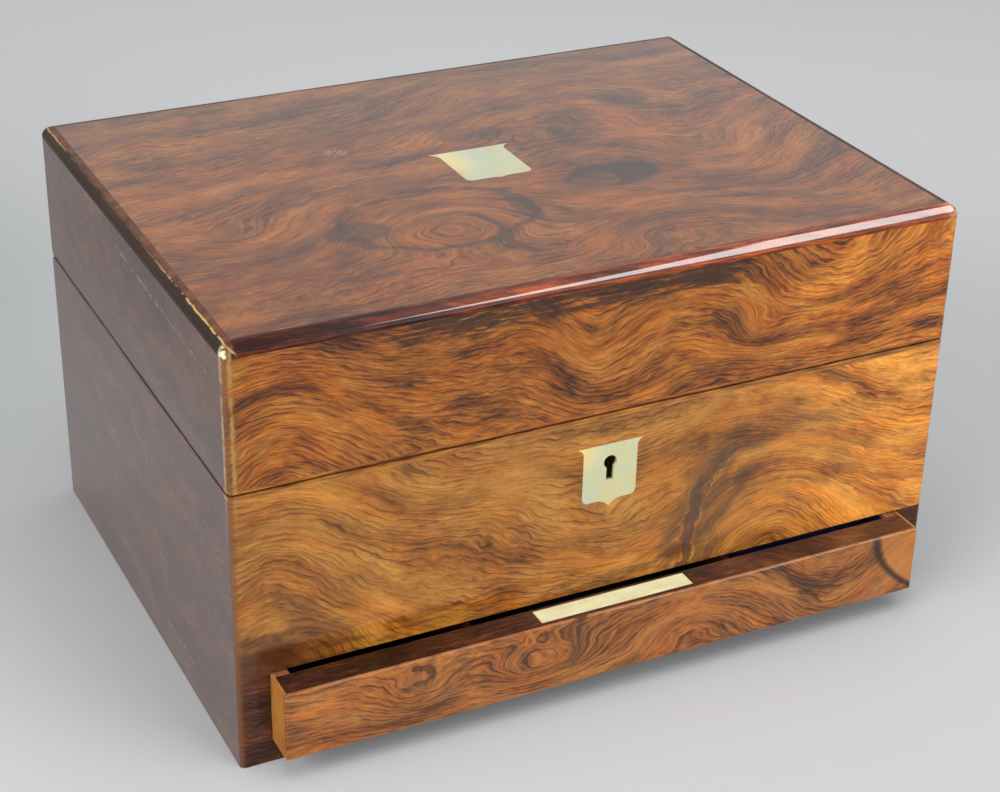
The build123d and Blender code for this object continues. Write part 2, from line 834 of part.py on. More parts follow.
def jar_top(x, y, width, depth, height):
    """The plated top of a jar: a shallow box turned down over the neck."""
    z0 = jar_floor + height + cap_seat
    z1 = z0 + jar_lid_height
    top = rounded_block(x, y, width, depth, z0, z1, jar_corner)
    top = chamfer(top.faces().sort_by(Axis.Z)[-1].edges(), jar_lid_chamfer)
    inset = 2 * (jar_neck_inset - lid_fit)
    hollow = rounded_block(x, y, width - inset, depth - inset, z0 - 1, z1 - lid_shell * 2, jar_corner - 1)
    return top - hollow


jar_side = column_width - 2 * jar_side_gap
powder_depth = end_cell_depth - 2 * jar_side_gap
powder_y = -(end_cell_y + cell_d) / 2
long_jar_y = (long_cell_y + cell_d) / 2
long_jar_width = 2 * (centre_half - jar_side_gap)
long_jar_depth = long_cell_depth - 2 * jar_side_gap


def jar_pieces():
    """Glass bodies and their plated tops."""
    powder = [(s * corner_cell_x, powder_y, jar_side, powder_depth, jar_body_height) for s in (-1, 1)]
    long = (0, long_jar_y, long_jar_width, long_jar_depth, long_jar_height)
    return {
        "scent_bottles": [scent_bottle(-1), scent_bottle(1)],
        "scent_caps": [scent_cap(-1), scent_cap(1)],
        "powder_jars": [jar_body(*size) for size in powder],
        "powder_jar_tops": [jar_top(*size) for size in powder],
        "long_jar": [jar_body(*long)],
        "long_jar_top": [jar_top(*long)],
    }


# ---- lift-out tray and its tools ----
def tray_pieces():
    """A shallow rosewood tray: two open side bays and a velvet bed with five tools."""
    x1, y0, y1, z0 = tray_half, tray_y0, tray_y1, tray_z0
    z1 = z0 + tray_height
    walls = mitred_frame(-x1, x1, y0, y1, tray_wall, z0, z1)
    floor = block(-x1 + tray_wall, x1 - tray_wall, y0 + tray_wall, y1 - tray_wall, z0, z0 + tray_floor)
    bay = x1 - tray_wall - tray_side_bay
    ribs = [
        block(s * bay, s * (bay - tray_wall), y0 + tray_wall, y1 - tray_wall, z0 + tray_floor, z1)
        for s in (-1, 1)
    ]
    middle = (y0 + y1) / 2
    notch = rod(tray_notch, (-x1 - 1, middle, z1 + tray_notch * 0.35), (1, 0, 0), 2 * x1 + 2)
    sides = cut([walls[2], walls[3]], [notch])
    bed_top = z1 - tray_pad_drop
    bed = block(-bed_half, bed_half, y0 + tray_wall, y1 - tray_wall, z0 + tray_floor, bed_top)
    handles, blades, slots = [], [], []
    start = y0 + tray_wall + tool_margin
    lift = bed_top + tool_lift
    for n in range(tool_count):
        x = (n - (tool_count - 1) / 2) * tool_pitch
        handle = tool_handle(x, start, lift)
        blade = tool_blade(x, start + tool_handle_length, lift, n)
        handles.append(handle - blade)
        blades.append(blade)
        wide = tool_handle_radius + tool_slot_clear
        deep = lift - tool_handle_thick / 2 - tool_slot_clear
        slots.append(
            block(x - wide, x + wide, start - 1, start + tool_handle_length + 1, deep, bed_top + 1)
        )
        end = start + tool_handle_length + tool_blade_length + 1
        half = tool_blade_width / 2 + tool_hook_radius
        slots.append(block(x - half, x + half, start + tool_handle_length, end, bed_top - 2.0, bed_top + 1))
    pad_y0, pad_y1, pad_z = y0 + tray_wall, y1 - tray_wall, z0 + tray_floor
    side_pads = [
        block(s * bay, s * (x1 - tray_wall), pad_y0, pad_y1, pad_z, pad_z + pad) for s in (-1, 1)
    ]
    return {
        "tray_frame": [walls[0], walls[1], *sides, floor, *ribs],
        "tray_velvet": [bed - slots, *side_pads],
        "tool_handles": handles,
        "tool_blades": blades,
    }


def tool_handle(x, y, z):
    """A flat-sided pearl handle that swells at its end."""
    grip = block(
        x - tool_handle_radius,
        x + tool_handle_radius,
        y,
        y + tool_handle_length,
        z - tool_handle_thick / 2,
        z + tool_handle_thick / 2,
    )
    grip = chamfer(grip.edges().filter_by(Axis.Y), 1.6)
    ends = grip.faces().sort_by(Axis.Y)
    return chamfer(ends[0].edges(), 0.8)


def tool_blade(x, y, z, kind):
    """The steel end of a tool: file, stiletto, button hook, cuticle knife or blade by number."""
    wide = tool_blade_width / 2 * (1.0, 0.45, 0.5, 0.8, 1.1)[kind]
    thick = tool_blade_thick / 2 * (1.0, 1.4, 1.4, 1.0, 1.0)[kind]
    tang = block(x - 1.0, x + 1.0, y - tool_tang, y + 1.0, z - 0.5, z + 0.5)
    collar = rod(1.7, (x, y, z), (0, 1, 0), 3.0)
    shaft_end = y + tool_blade_length - (6.0 if kind == 2 else 0.0)
    blade = block(x - wide, x + wide, y + 2.0, shaft_end, z - thick, z + thick)
    if kind != 2:
        tip = [e for e in blade.edges().filter_by(Axis.Z) if e.center().Y > shaft_end - 1]
        blade = chamfer(tip, wide * 0.8)
    else:
        hook = Pos(x + 1.6, shaft_end, z) * (
            extrude(Circle(tool_hook_radius), thick, both=True) - extrude(Circle(1.1), thick + 1, both=True)
        )
        mouth = block(x + 1.6, x + 5.5, shaft_end - 4.0, shaft_end, z - 3.0, z + 3.0)
        blade += hook - mouth
    return blade + collar + tang


# ---- lid ----
def lid_carcass(shape):
    """The lid's walls and the rebated board that closes its top."""
    z0 = lid_rim + lid_facing
    walls = mitred_frame(-core_w, core_w, -core_d, core_d, carcass, z0, lid_ceiling)
    tools = hinge_tools(True) + [link_bed()]
    tools += [screw(p, (0, 0, 1), clear=screw_clear) for p in link_screw_places()]
    strip_z = box_height - edge_strip
    wide = block(-core_w, core_w, -core_d, core_d, lid_ceiling, strip_z)
    inner_x, inner_y = half_w - edge_strip, half_d - edge_strip
    raised = block(-inner_x, inner_x, -inner_y, inner_y, strip_z, box_height - veneer)
    return {"lid_walls": cut(trim(walls, shape), tools), "lid_board": [wide + raised]}


def link_bed():
    """The bed of the link plate in the lid's rim."""
    half = link_plate_width / 2
    return block(-half, half, lock_front, lock_inner, lid_rim - 1, lid_rim + selvedge_thick)


def lid_skin(shape):
    """Veneers, edge strips and rim strip of the lid."""
    z0 = lid_rim + lid_facing
    strip_z = box_height - edge_strip
    inner_x, inner_y = half_w - edge_strip, half_d - edge_strip
    top = block(-inner_x, inner_x, -inner_y, inner_y, box_height - veneer, box_height)
    face = block(-half_w, half_w, -half_d, -core_d, z0, strip_z)
    sides = [block(s * core_w, s * half_w, -core_d, core_d, z0, strip_z) for s in (-1, 1)]
    rear = block(-half_w, half_w, core_d, half_d, z0, strip_z)
    strips = mitred_frame(-half_w, half_w, -half_d, half_d, edge_strip, strip_z, box_height)
    facing = mitred_frame(-half_w, half_w, -half_d, half_d, half_w - well_w, lid_rim, z0)
    facing_tools = hinge_tools(True) + [link_bed()]
    facing_tools += [screw(p, (0, 0, 1), clear=screw_clear) for p in link_screw_places()]
    return {
        "lid_top_veneer": cut([top], [pearl_shield_block(1.0)]),
        "lid_front_veneer": trim([face], shape),
        "lid_outer_veneers": trim([*sides, rear], shape),
        "lid_edge_strips": trim(strips, shape),
        "lid_rim_facing": cut(trim(facing, shape), facing_tools),
        "lid_shield": [pearl_shield_block()],
    }


def mirror_pieces():
    """The framed mirror in the lid, the rails that hold it and the velvet round it."""
    x1 = well_w - mirror_clear
    y0, y1 = mirror_front, well_d - mirror_clear
    z0, z1 = mirror_z, mirror_z + mirror_frame_thick
    bars = mitred_frame(-x1, x1, y0, y1, mirror_frame_width, z0, z1)
    inset = mirror_frame_width - mirror_lip
    pocket = block(-x1 + inset, x1 - inset, y0 + inset, y1 - inset, z0 + mirror_lip_thick, z1 + 1)
    gap = inset + mirror_clear
    glass_z = z0 + mirror_lip_thick
    glass = block(-x1 + gap, x1 - gap, y0 + gap, y1 - gap, glass_z, glass_z + mirror_glass)
    back_z = glass_z + mirror_glass
    board = block(-x1 + gap, x1 - gap, y0 + gap, y1 - gap, back_z, back_z + mirror_backing)
    ring = mitred_frame(-well_w, well_w, -well_d, well_d, rail_width, z1 + mirror_clear, lid_ceiling)
    bar = block(-well_w, well_w, -well_d, -well_d + mirror_rail, z0, z1 + mirror_clear)
    bar -= rod(button_screw_radius, (0, button_y, z0 - 1), (0, 0, 1), button_screw_depth + 1)
    lip = block(-well_w, well_w, well_d - back_lip, well_d, z0 - lip_height, z0 - mirror_clear)
    lining_z = lid_rim + lid_lining_gap
    lining_top = z0 - lid_lining_gap
    lining = mitred_frame(-well_w, well_w, -well_d, well_d, cell_lining, lining_z, lining_top)
    notch = block(-well_w, well_w, well_d - back_lip - 1, well_d + 1, z0 - lip_height - mirror_clear, z0)
    return {
        "mirror_frame": cut(bars, [pocket]),
        "mirror_glass": [glass],
        "mirror_backing": [board],
        "mirror_rails": [*ring, bar, lip],
        "lid_lining": cut(lining, [notch]),
        "mirror_button": [button_piece()],
    }


button_y = -well_d + button_pivot_gap


def button_piece():
    """A brass turn-button under the rail, whose tongue holds the mirror frame up."""
    z1 = mirror_z - mirror_clear
    z0 = z1 - button_thick
    half, y0 = button_width / 2, button_y - button_tail
    tongue = block(-half, half, y0, y0 + button_length, z0, z1)
    tongue = fillet(tongue.edges().filter_by(Axis.Z), button_width * 0.45)
    head = rod(screw_head_radius, (0, button_y, z0), (0, 0, -1), button_head)
    head = fillet(head.edges().sort_by(Axis.Z)[0], button_head * 0.6)
    shank = rod(button_screw_radius - screw_clear, (0, button_y, z0), (0, 0, 1), button_screw_depth)
    return tongue + head + shank


# ---- drawer ----
def drawer_pieces():
    """The drawer: front board, veneers, sides, back, floor, label, catch and partitions."""
    d0, d1 = drawer_z0, drawer_z1
    board = block(
        -drawer_core, drawer_core, drawer_face + veneer, drawer_front_back, d0, d1
    )
    face = block(-drawer_half, drawer_half, drawer_face, drawer_face + veneer, d0, d1)
    face = chamfer(face.faces().sort_by(Axis.Y)[0].edges(), drawer_edge)
    ends = [
        block(s * drawer_core, s * drawer_half, drawer_face + veneer, drawer_end, d0, d1) for s in (-1, 1)
    ]
    label_y1 = drawer_front_back - label_back_gap
    label = block(
        -label_length / 2, label_length / 2, label_y1 - label_width, label_y1, d1 - label_depth, d1
    )
    sides = [
        block(s * drawer_inner, s * drawer_core, drawer_front_back, drawer_end, d0, d1) for s in (-1, 1)
    ]
    hole_y = pin_y - drawer_open
    hole = rod(pin_radius + catch_hole_clear, (pin_x, hole_y, d1 - pin_engage - 1), (0, 0, 1), pin_engage + 2)
    catch = block(
        pin_x - catch_width / 2,
        pin_x + catch_width / 2,
        drawer_end - catch_length,
        drawer_end,
        d1 - catch_thick,
        d1,
    )
    rear = block(-drawer_inner, drawer_inner, drawer_inner_back, drawer_end, d0, d1 - drawer_back_drop)
    floor_z = d0 + drawer_floor_lift + drawer_floor
    floor = block(
        -drawer_inner, drawer_inner, drawer_front_back, drawer_inner_back, floor_z - drawer_floor, floor_z
    )
    lining_x, lining_y0, lining_y1 = drawer_inner, drawer_front_back, drawer_inner_back
    lining = mitred_frame(
        -lining_x, lining_x, lining_y0, lining_y1, drawer_lining, floor_z + drawer_lining, d1 - lining_drop
    )
    lining.append(block(-lining_x, lining_x, lining_y0, lining_y1, floor_z, floor_z + drawer_lining))
    bay_y0, bay_y1 = lining_y0 + drawer_lining, lining_y1 - drawer_lining
    bed = floor_z + drawer_lining
    top = d1 - partition_drop
    walls = []
    for s in (-1, 1):
        x = s * partition_x
        wall = block(x - partition_wall / 2, x + partition_wall / 2, bay_y0, bay_y1, bed, top)
        walls.append(fillet(wall.edges().filter_by(Axis.Y).sort_by(Axis.Z)[-2:], partition_wall * 0.4))
    return {
        "drawer_front": cut([board], [label]),
        "drawer_front_veneer": [face],
        "drawer_end_veneers": ends,
        "drawer_sides": cut(sides, [hole, catch]),
        "drawer_back": [rear],
        "drawer_floor": [floor],
        "drawer_lining": lining,
        "drawer_partitions": walls,
        "drawer_label": [label],
        "drawer_catch": cut([catch], [hole]),
        "ring_cushion": [ring_cushion_piece(bay_y0, bay_y1, bed)],
    }


def ring_cushion_piece(y0, y1, bed):
    """A row of padded rolls that hold rings between them, filling the right-hand bay."""
    x0 = partition_x + partition_wall / 2 + cushion_clear
    x1 = drawer_inner - drawer_lining - cushion_clear
    y0, y1 = y0 + cushion_clear, y1 - cushion_clear
    pitch = (y1 - y0) / ring_rolls
    crown = drawer_z1 - ring_cushion_drop
    waist = crown - ring_waist
    edges = [Line((y0, bed), (y0, waist))]
    for n in range(ring_rolls):
        start = y0 + n * pitch
        edges.append(ThreePointArc((start, waist), (start + pitch / 2, crown), (start + pitch, waist)))
    edges.append(Line((y1, waist), (y1, bed)))
    edges.append(Line((y1, bed), (y0, bed)))
    profile = make_face(edges)
    return extrude(Plane.YZ.offset(x0) * profile, x1 - x0)


# ---- screws ----
def screw_pieces():
    """All wood screws of the base and of the lid."""
    base, lid = [], []
    for x in hinge_places:
        base += [screw(p, (0, 0, -1)) for p in hinge_screw_places(x, False)]
        lid += [screw(p, (0, 0, 1)) for p in hinge_screw_places(x, True)]
    base += [screw((s * lock_screw_x, lock_mid_y, base_rim), (0, 0, -1)) for s in (-1, 1)]
    base += [screw(p, (0, 1, 0)) for p in spring_screw_places()]
    lid += [screw(p, (0, 0, 1)) for p in link_screw_places()]
    return {"base_screws": base, "lid_screws": lid}


def hinge_pieces():
    """Leaves and pins of both hinges."""
    pins = [
        rod(hinge_pin_radius, (x - hinge_length / 2, axis_y, lid_line), (1, 0, 0), hinge_length)
        for x in hinge_places
    ]
    return {
        "hinge_base_leaves": [hinge_leaf(x, False) for x in hinge_places],
        "hinge_lid_leaves": [hinge_leaf(x, True) for x in hinge_places],
        "hinge_pins": pins,
    }


def all_pieces():
    """Every node of the box and its solids."""
    base, lid = base_shape(), lid_shape()
    escutcheon = pearl_plate_block() - keyhole_tool(-half_d - 1, -core_d + 1)
    return {
        **base_carcass(base),
        **base_skin(base),
        "keyhole_plate": [escutcheon],
        **lock_pieces(),
        "link_plate": [link_plate_piece()],
        **hinge_pieces(),
        "release_pin": [release_pin_piece()],
        "drawer_spring": [drawer_spring_piece()],
        **fitted_frame_pieces(),
        "cell_velvet": cell_pads() + middle_well_linings(),
        **jar_pieces(),
        **tray_pieces(),
        **lid_carcass(lid),
        **lid_skin(lid),
        **mirror_pieces(),
        **drawer_pieces(),
        **screw_pieces(),
    }


os.makedirs("parts", exist_ok=True)
for node, pieces in all_pieces().items():
    export_step(one(pieces), f"parts/{node}.step")
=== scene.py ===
# %% [markdown]
# # Dressing a rosewood dressing box
#
# The CAD model already gives every board, hinge and jar its true shape and place. This lesson
# gives those pieces their looks: figured veneer under French polish, mother of pearl, velvet,
# cut glass, silver plate and worn edges. Everything is in metres, in the frame of the CAD, so a
# piece that is modelled here goes exactly where the maker's drawing says.

# %% Load the fixed frame
import math

import bpy
from mathutils import Matrix, Vector


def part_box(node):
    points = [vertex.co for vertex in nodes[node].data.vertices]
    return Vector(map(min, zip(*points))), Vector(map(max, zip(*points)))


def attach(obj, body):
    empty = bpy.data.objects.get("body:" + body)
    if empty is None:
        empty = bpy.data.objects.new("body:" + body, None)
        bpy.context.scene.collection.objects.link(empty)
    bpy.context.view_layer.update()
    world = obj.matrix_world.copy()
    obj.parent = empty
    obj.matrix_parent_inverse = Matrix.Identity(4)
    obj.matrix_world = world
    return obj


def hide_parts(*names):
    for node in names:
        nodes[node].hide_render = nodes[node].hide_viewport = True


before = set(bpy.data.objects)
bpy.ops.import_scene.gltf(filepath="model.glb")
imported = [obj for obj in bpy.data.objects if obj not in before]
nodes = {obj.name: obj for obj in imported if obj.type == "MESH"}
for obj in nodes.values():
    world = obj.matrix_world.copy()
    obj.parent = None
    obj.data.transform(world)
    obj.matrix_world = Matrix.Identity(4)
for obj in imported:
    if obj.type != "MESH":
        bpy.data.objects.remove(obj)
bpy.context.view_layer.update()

# %% [markdown]
# ## Arithmetic on sockets
#
# A wood finish is mostly sums: a height across the grain, plus a wave, plus a knot. In the node
# editor each sum is a box with wires, which is slow to read. Here a small class wraps the output
# of a node, and Python's own signs add the Math nodes.


# %% A socket that can be added, multiplied and compared
class Signal:
    """One output of a finish's node."""

    def __init__(self, finish, socket):
        self.finish, self.socket = finish, socket

    def math(self, operation, *others):
        return self.finish.add("ShaderNodeMath", {"operation": operation}, [self, *others])

    def __add__(self, other):
        return self.math("ADD", other)

    def __sub__(self, other):
        return self.math("SUBTRACT", other)

    def __mul__(self, other):
        return self.math("MULTIPLY", other)

    def __truediv__(self, other):
        return self.math("DIVIDE", other)

    def __rsub__(self, other):
        return self.finish.add("ShaderNodeMath", {"operation": "SUBTRACT"}, [other, self])

    def __or__(self, other):
        """The greater of the two, which joins two masks."""
        return self.math("MAXIMUM", other)

    def __abs__(self):
        return self.math("ABSOLUTE")

    __radd__, __rmul__, __ror__ = __add__, __mul__, __or__

    def within(self, low, high):
        """0 below low, 1 above high and a soft step between; a low above high turns it over."""
        settings = {"interpolation_type": "SMOOTHSTEP"}
        return self.finish.add("ShaderNodeMapRange", settings, [self, low, high, 0.0, 1.0])

    def near(self, centre, reach):
        """1 at the centre, falling to 0 at the reach on both sides."""
        return abs(self - centre).within(reach, 0.0)


def spread(u, v, centre, reach):
    """The square of the distance from a centre, which is 1 on an oval of that reach."""
    across, up = (u - centre[0]) * (1 / reach[0]), (v - centre[1]) * (1 / reach[1])
    return across * across + up * up


def hill(u, v, centre, reach):
    """1 at the centre, falling softly to nothing on all sides."""
    return (spread(u, v, centre, reach) * -1.0).math("EXPONENT")


# %% [markdown]
# ## A finish
#
# A finish is one material. `add` makes any node: its type, its settings, and then the values or
# wires of its sockets. The other methods name the few things that every finish here needs: a
# place in millimetres, noise, a colour ramp and a mix of two colours.


# %% The finish and its few tools
class Finish:
    """A material, or the world, that is built up node by node."""

    def __init__(self, name, world=None):
        self.material = world or bpy.data.materials.new(name)
        self.material.use_nodes = True
        self.tree = self.material.node_tree
        self.shader = self.tree.nodes["Background" if world else "Principled BSDF"]

    def add(self, kind, settings=None, inputs=(), output=0):
        """Any node: its type, its settings, the values or signals of its sockets, and an output."""
        node = self.tree.nodes.new(kind)
        for name, value in (settings or {}).items():
            if name == "stops":
                ramp = node.color_ramp.elements
                while len(ramp) < len(value):
                    ramp.new(0.5)
                for stop, (place, colour) in zip(ramp, value):
                    stop.position, stop.color = place, (*colour, 1)
            else:
                setattr(node, name, value)
        for key, value in inputs.items() if isinstance(inputs, dict) else enumerate(inputs):
            self.join(node.inputs[key], value)
        return Signal(self, node.outputs[output])

    def join(self, socket, value):
        """A signal is wired to the socket, and anything else is set on it."""
        if isinstance(value, Signal):
            self.tree.links.new(value.socket, socket)
        elif socket.type == "RGBA":
            socket.default_value = (*value, 1)
        else:
            socket.default_value = value

    def set(self, **values):
        """Sockets of the finish's own shader, with _ for a space in their names."""
        for name, value in values.items():
            self.join(self.shader.inputs[name.replace("_", " ")], value)
        return self

    def place(self):
        """x, y and z of a point of the piece, in millimetres."""
        point = self.add("ShaderNodeTexCoord", output=3)
        scaled = self.add("ShaderNodeVectorMath", {"operation": "SCALE"}, {0: point, "Scale": 1000})
        x = self.add("ShaderNodeSeparateXYZ", {}, [scaled])
        return [Signal(self, socket) for socket in x.socket.node.outputs]

    def at(self, x, y, z):
        return self.add("ShaderNodeCombineXYZ", {}, [x, y, z])

    def noise(self, x, y, z=None, detail=2, rough=0.5):
        """Smooth noise about 0.5, one blot per unit of x and y (and z)."""
        settings = {"noise_dimensions": "2D" if z is None else "3D"}
        sockets = {"Vector": self.at(x, y, 0.0 if z is None else z), "Scale": 1.0}
        return self.add("ShaderNodeTexNoise", settings, {**sockets, "Detail": detail, "Roughness": rough})

    def mix(self, share, low, high, blend="MIX"):
        settings = {"data_type": "RGBA", "blend_type": blend}
        return self.add("ShaderNodeMix", settings, {0: share, 6: low, 7: high}, output=2)

    def ramp(self, value, *stops):
        return self.add("ShaderNodeValToRGB", {"stops": stops}, [value])

    def relief(self, height, depth, strength):
        """Bumps of a depth in millimetres, from a height that goes from 0 to 1."""
        sockets = {"Height": height, "Distance": depth / 1000, "Strength": strength}
        return self.set(Normal=self.add("ShaderNodeBump", {}, sockets))


dressed, covered = set(), set()


def dress(finish, *names):
    """Gives CAD nodes a finish."""
    dressed.update(names)
    for name in names:
        nodes[name].data.materials.clear()
        nodes[name].data.materials.append(finish.material)


# %% [markdown]
# ## The room: floor, light and camera
#
# Such a box is photographed on a pale sweep with large soft lamps, and polish shows what it
# mirrors. The front lamp lights the fronts fully, a weak one hangs above, one stands at the left,
# and the pale world, darker overhead, fills the shadows. The white line on the lid's round front
# edge is the mirror image of a tall window, so a fourth panel is only mirrored and lights
# nothing. Far off, the floor and the world turn into one plain pale colour for the camera.

# %% A pale floor
FLOOR_LEVEL = 0.0002  # a hair over the felt's underside, so that a view from below shows the felt
bpy.ops.object.select_all(action="DESELECT")
bpy.ops.mesh.primitive_plane_add(size=12, location=(0, 0, FLOOR_LEVEL))
floor = bpy.context.object
floor.name = "floor"
paper = Finish("paper")
px, py, _ = paper.place()
cloudy = paper.noise(px / 900, py / 900, detail=1.0)
# Painted light: the paper is darker towards the left and the front as a painted falloff of the light, and a
# painted shadow darkens a patch at the back left.
painted_falloff = ((px + py * 0.8) / 1000 + cloudy * 0.1).within(0.1, 0.9)
painted_shadow_spot = hill(px, py, (-265, 350), (165, 230))
tone = paper.mix(painted_falloff, (0.455, 0.465, 0.47), (0.525, 0.53, 0.535))
tone = paper.mix(painted_shadow_spot * 0.6, tone, (0.22, 0.235, 0.24))
paper.set(Base_Color=tone, Roughness=0.9)
PALE = (0.56, 0.565, 0.57)
away = ((px * px + py * py).math("SQRT") / 1000).within(1.2, 2)
seen = paper.add("ShaderNodeLightPath", output=0)
plain = paper.add("ShaderNodeEmission", {}, [PALE, 1.0])
paper_itself = Signal(paper, paper.shader.outputs[0])
near_and_far = paper.add("ShaderNodeMixShader", {}, [away * seen, paper_itself, plain])
paper.join(paper.tree.nodes["Material Output"].inputs["Surface"], near_and_far)
floor.data.materials.append(paper.material)

# %% Soft lamps and a pale world
def softbox(name, place, target, width, height, power, roll=0.0, mirrored=False):
    """A flat rectangular lamp that faces a point of the box: it lights, or it is only mirrored."""
    lamp = bpy.data.lights.new(name, "AREA")
    lamp.shape, lamp.size, lamp.size_y, lamp.energy = "RECTANGLE", width, height, power
    holder = bpy.data.objects.new(name, lamp)
    holder.visible_camera, holder.visible_glossy, holder.visible_diffuse = False, mirrored, not mirrored
    bpy.context.scene.collection.objects.link(holder)
    aim = (Vector(target) - Vector(place)).to_track_quat("-Z", "Y")
    turned = aim.to_matrix() @ Matrix.Rotation(roll, 3, "Z")
    holder.matrix_world = Matrix.Translation(place) @ turned.to_4x4()


softbox("front_lamp", (1.3, -2.3, 0.9), (0, 0, 0.08), 1.8, 1.4, 48)
softbox("high_lamp", (0.1, -0.3, 1.8), (0, 0, 0.1), 1.6, 1.6, 21)
softbox("left_lamp", (-1.6, -0.6, 0.8), (-0.2, 0, 0), 1.4, 1.4, 34)
softbox("window", (0.843, -0.763, 0.962), (0.191, -0.144, 0.004), 0.53, 1.588, 8.5, roll=-0.937,
        mirrored=True)

sky = bpy.data.worlds.new("pale_room")
bpy.context.scene.world = sky
room = Finish("pale_room", sky)
towards = room.add("ShaderNodeTexCoord", output=0)
rise = room.add("ShaderNodeSeparateXYZ", {}, [towards], output=2)
ahead = room.add("ShaderNodeSeparateXYZ", {}, [towards], output=1)
walls = room.ramp(rise, (0.3, (0.86, 0.87, 0.89)), (0.75, (0.26, 0.265, 0.275)))
walls = room.mix(ahead.within(-0.35, -0.85) * 0.75, walls, (0.12, 0.11, 0.11))
room.set(Color=room.mix(room.add("ShaderNodeLightPath", output=0), walls, PALE), Strength=1.0)
bpy.context.scene.view_settings.view_transform = "Standard"

# %% The camera, fitted to the straight edges of the box
EYE = (-0.3529, -0.7182, 0.50082)
RIGHTWARD = (0.89763, -0.4403, 0.01985)
UPWARD = (0.19303, 0.43321, 0.88038)
BACKWARD = (-0.39623, -0.78643, 0.47385)

lens = bpy.data.cameras.new("camera")
lens.lens, lens.sensor_width = 76.32, 36
camera = bpy.data.objects.new("camera", lens)
bpy.context.scene.collection.objects.link(camera)
turn = Matrix((RIGHTWARD, UPWARD, BACKWARD)).transposed()
camera.matrix_world = Matrix.Translation(EYE) @ turn.to_4x4()
bpy.context.scene.camera = camera

# %% [markdown]
# ## Rosewood
#
# Rosewood is sawn across wild, knotted trunks, so its lines bend round knots like the height
# lines of a map. That is how it is made here: the height is the distance across the grain, each
# swirl pushes it up or down like a hill, and bands and dark lines are cut along equal height.
# Long thin noise, stretched along the grain, gives broad bands, stripes, hair lines and pores.


# %% The height map of the figure
def grain_height(wood, u, v, slope, seed, swirls, sway, ripple):
    """A height in millimetres whose contour lines are the lines of the wood."""
    height = v + u * slope
    height = height + (wood.noise(u / 120 + seed, v / 62 + seed, detail=1.0) - 0.5) * sway
    height = height + (wood.noise(u / 27 + seed, v / 13 - seed) - 0.5) * ripple
    lively = wood.noise(u / 45 - seed, v / 28 + seed, detail=1.0).within(0.4, 0.62) * 0.55 + 0.1
    height = height + (wood.noise(u / 7 - seed, v / 9 + seed) - 0.5) * (lively * ripple)
    for centre_u, centre_v, reach_u, reach_v, rise in swirls:
        height = height + hill(u, v, (centre_u, centre_v), (reach_u, reach_v)) * rise
    return height


# %% Bands, stripes, dark lines and pores along it
def figure(wood, height, along, seed, contrast):
    """How light the wood is (0 to 1), how inky its dark lines are, and its pores."""
    band = wood.noise(height / 15 + seed, along / 70)
    stripe = wood.noise(height / 1.8 - seed, along / 17, detail=3, rough=0.65)
    hair = wood.noise(height / 0.6 + seed, along / 5.5)
    cloud = wood.noise(height / 11 + 3 * seed, along / 24 - seed, detail=3, rough=0.6)
    ring = (height / 2.6 + band * 3.6 + cloud * 1.4).math("FRACT")
    growth = ring.within(0.3, 0.95) * ring.within(1.0, 0.95)
    patch = wood.noise(height / 24 - seed, along / 40 + seed, detail=1.0).within(0.36, 0.52)
    light = (band - 0.5) * 0.72 + (cloud - 0.5) * 0.72 + (stripe - 0.5) * 0.44 + (hair - 0.5) * 0.6
    light = 0.5 + (light - growth * patch * 0.12) * contrast
    line = growth.within(0.7, 1.0) * patch * stripe.within(0.85, 0.42)
    streak = wood.noise(height / 6 + 7 * seed, along / 60, detail=4, rough=0.65).within(0.62, 0.7)
    pore = wood.noise(height / 0.33, along / 3.4, detail=1.0).within(0.63, 0.72)
    return light, line * 0.75 | streak * 0.65, pore


# %% Veneer on one face, under French polish
INK, WARM = (0.024, 0.012, 0.004), (1.12, 0.92, 0.62)


def rosewood(name, face, tones, seed, slope=0.0, swirls=(), contrast=1.0, ink_share=0.8, sway=34,
             ripple=5, index=1.4, polish=lambda x, y, z: 1.0, after=()):
    """Figured veneer. face gives the places along and across the grain, tones the colours from
    dark to light, and each step of after changes the colour: where the wood is worn, stained or
    figured, and in places with painted shade, and on the top with a painted reflection."""
    wood = Finish(name)
    x, y, z = wood.place()
    u, v = face(x, y, z)
    height = grain_height(wood, u, v, slope, seed, swirls, sway, ripple)
    light, ink, pore = figure(wood, height, u, seed, contrast)
    colour = wood.ramp(light, *tones)
    warm = wood.noise(height / 13 - seed, u / 34 + 2 * seed).within(0.44, 0.6)
    colour = wood.mix(warm * 0.7, colour, WARM, "MULTIPLY")
    colour = wood.mix(ink * ink_share, colour, INK)
    colour = wood.mix(pore * 0.35, colour, INK)
    for step in after:
        colour = step(wood, colour, x, y, z)
    wood.set(Base_Color=colour, Roughness=0.42 - light * 0.08, Specular_IOR_Level=0.06)
    wood.set(Coat_Weight=polish(x, y, z), Coat_Roughness=0.06, Coat_IOR=index)
    wood.relief(1.0 - pore, 0.02, 0.35)
    return wood


# %% [markdown]
# ## Wear and age
#
# A box is carried for a century and a half, so its edges are rubbed first. At the front left
# corner the polish is gone in two thin broken lines with bare brown wood between them; the left
# top edge has one such line, and the corners of the lid show filler and bare gold wood. Each mark
# is a mask made of distances to the edges, broken up by noise, that mixes in another colour.

# %% Distances to the edges of the box, in millimetres
HALF_WIDTH, HALF_DEPTH, HEIGHT, LID_LINE = 152.5, 112.5, 177, 118.5
BARE_GOLD, OLD_GOLD, BARE_BROWN = (0.4, 0.27, 0.1), (0.3, 0.18, 0.055), (0.13, 0.048, 0.016)
FILLER = (0.6, 0.55, 0.4)


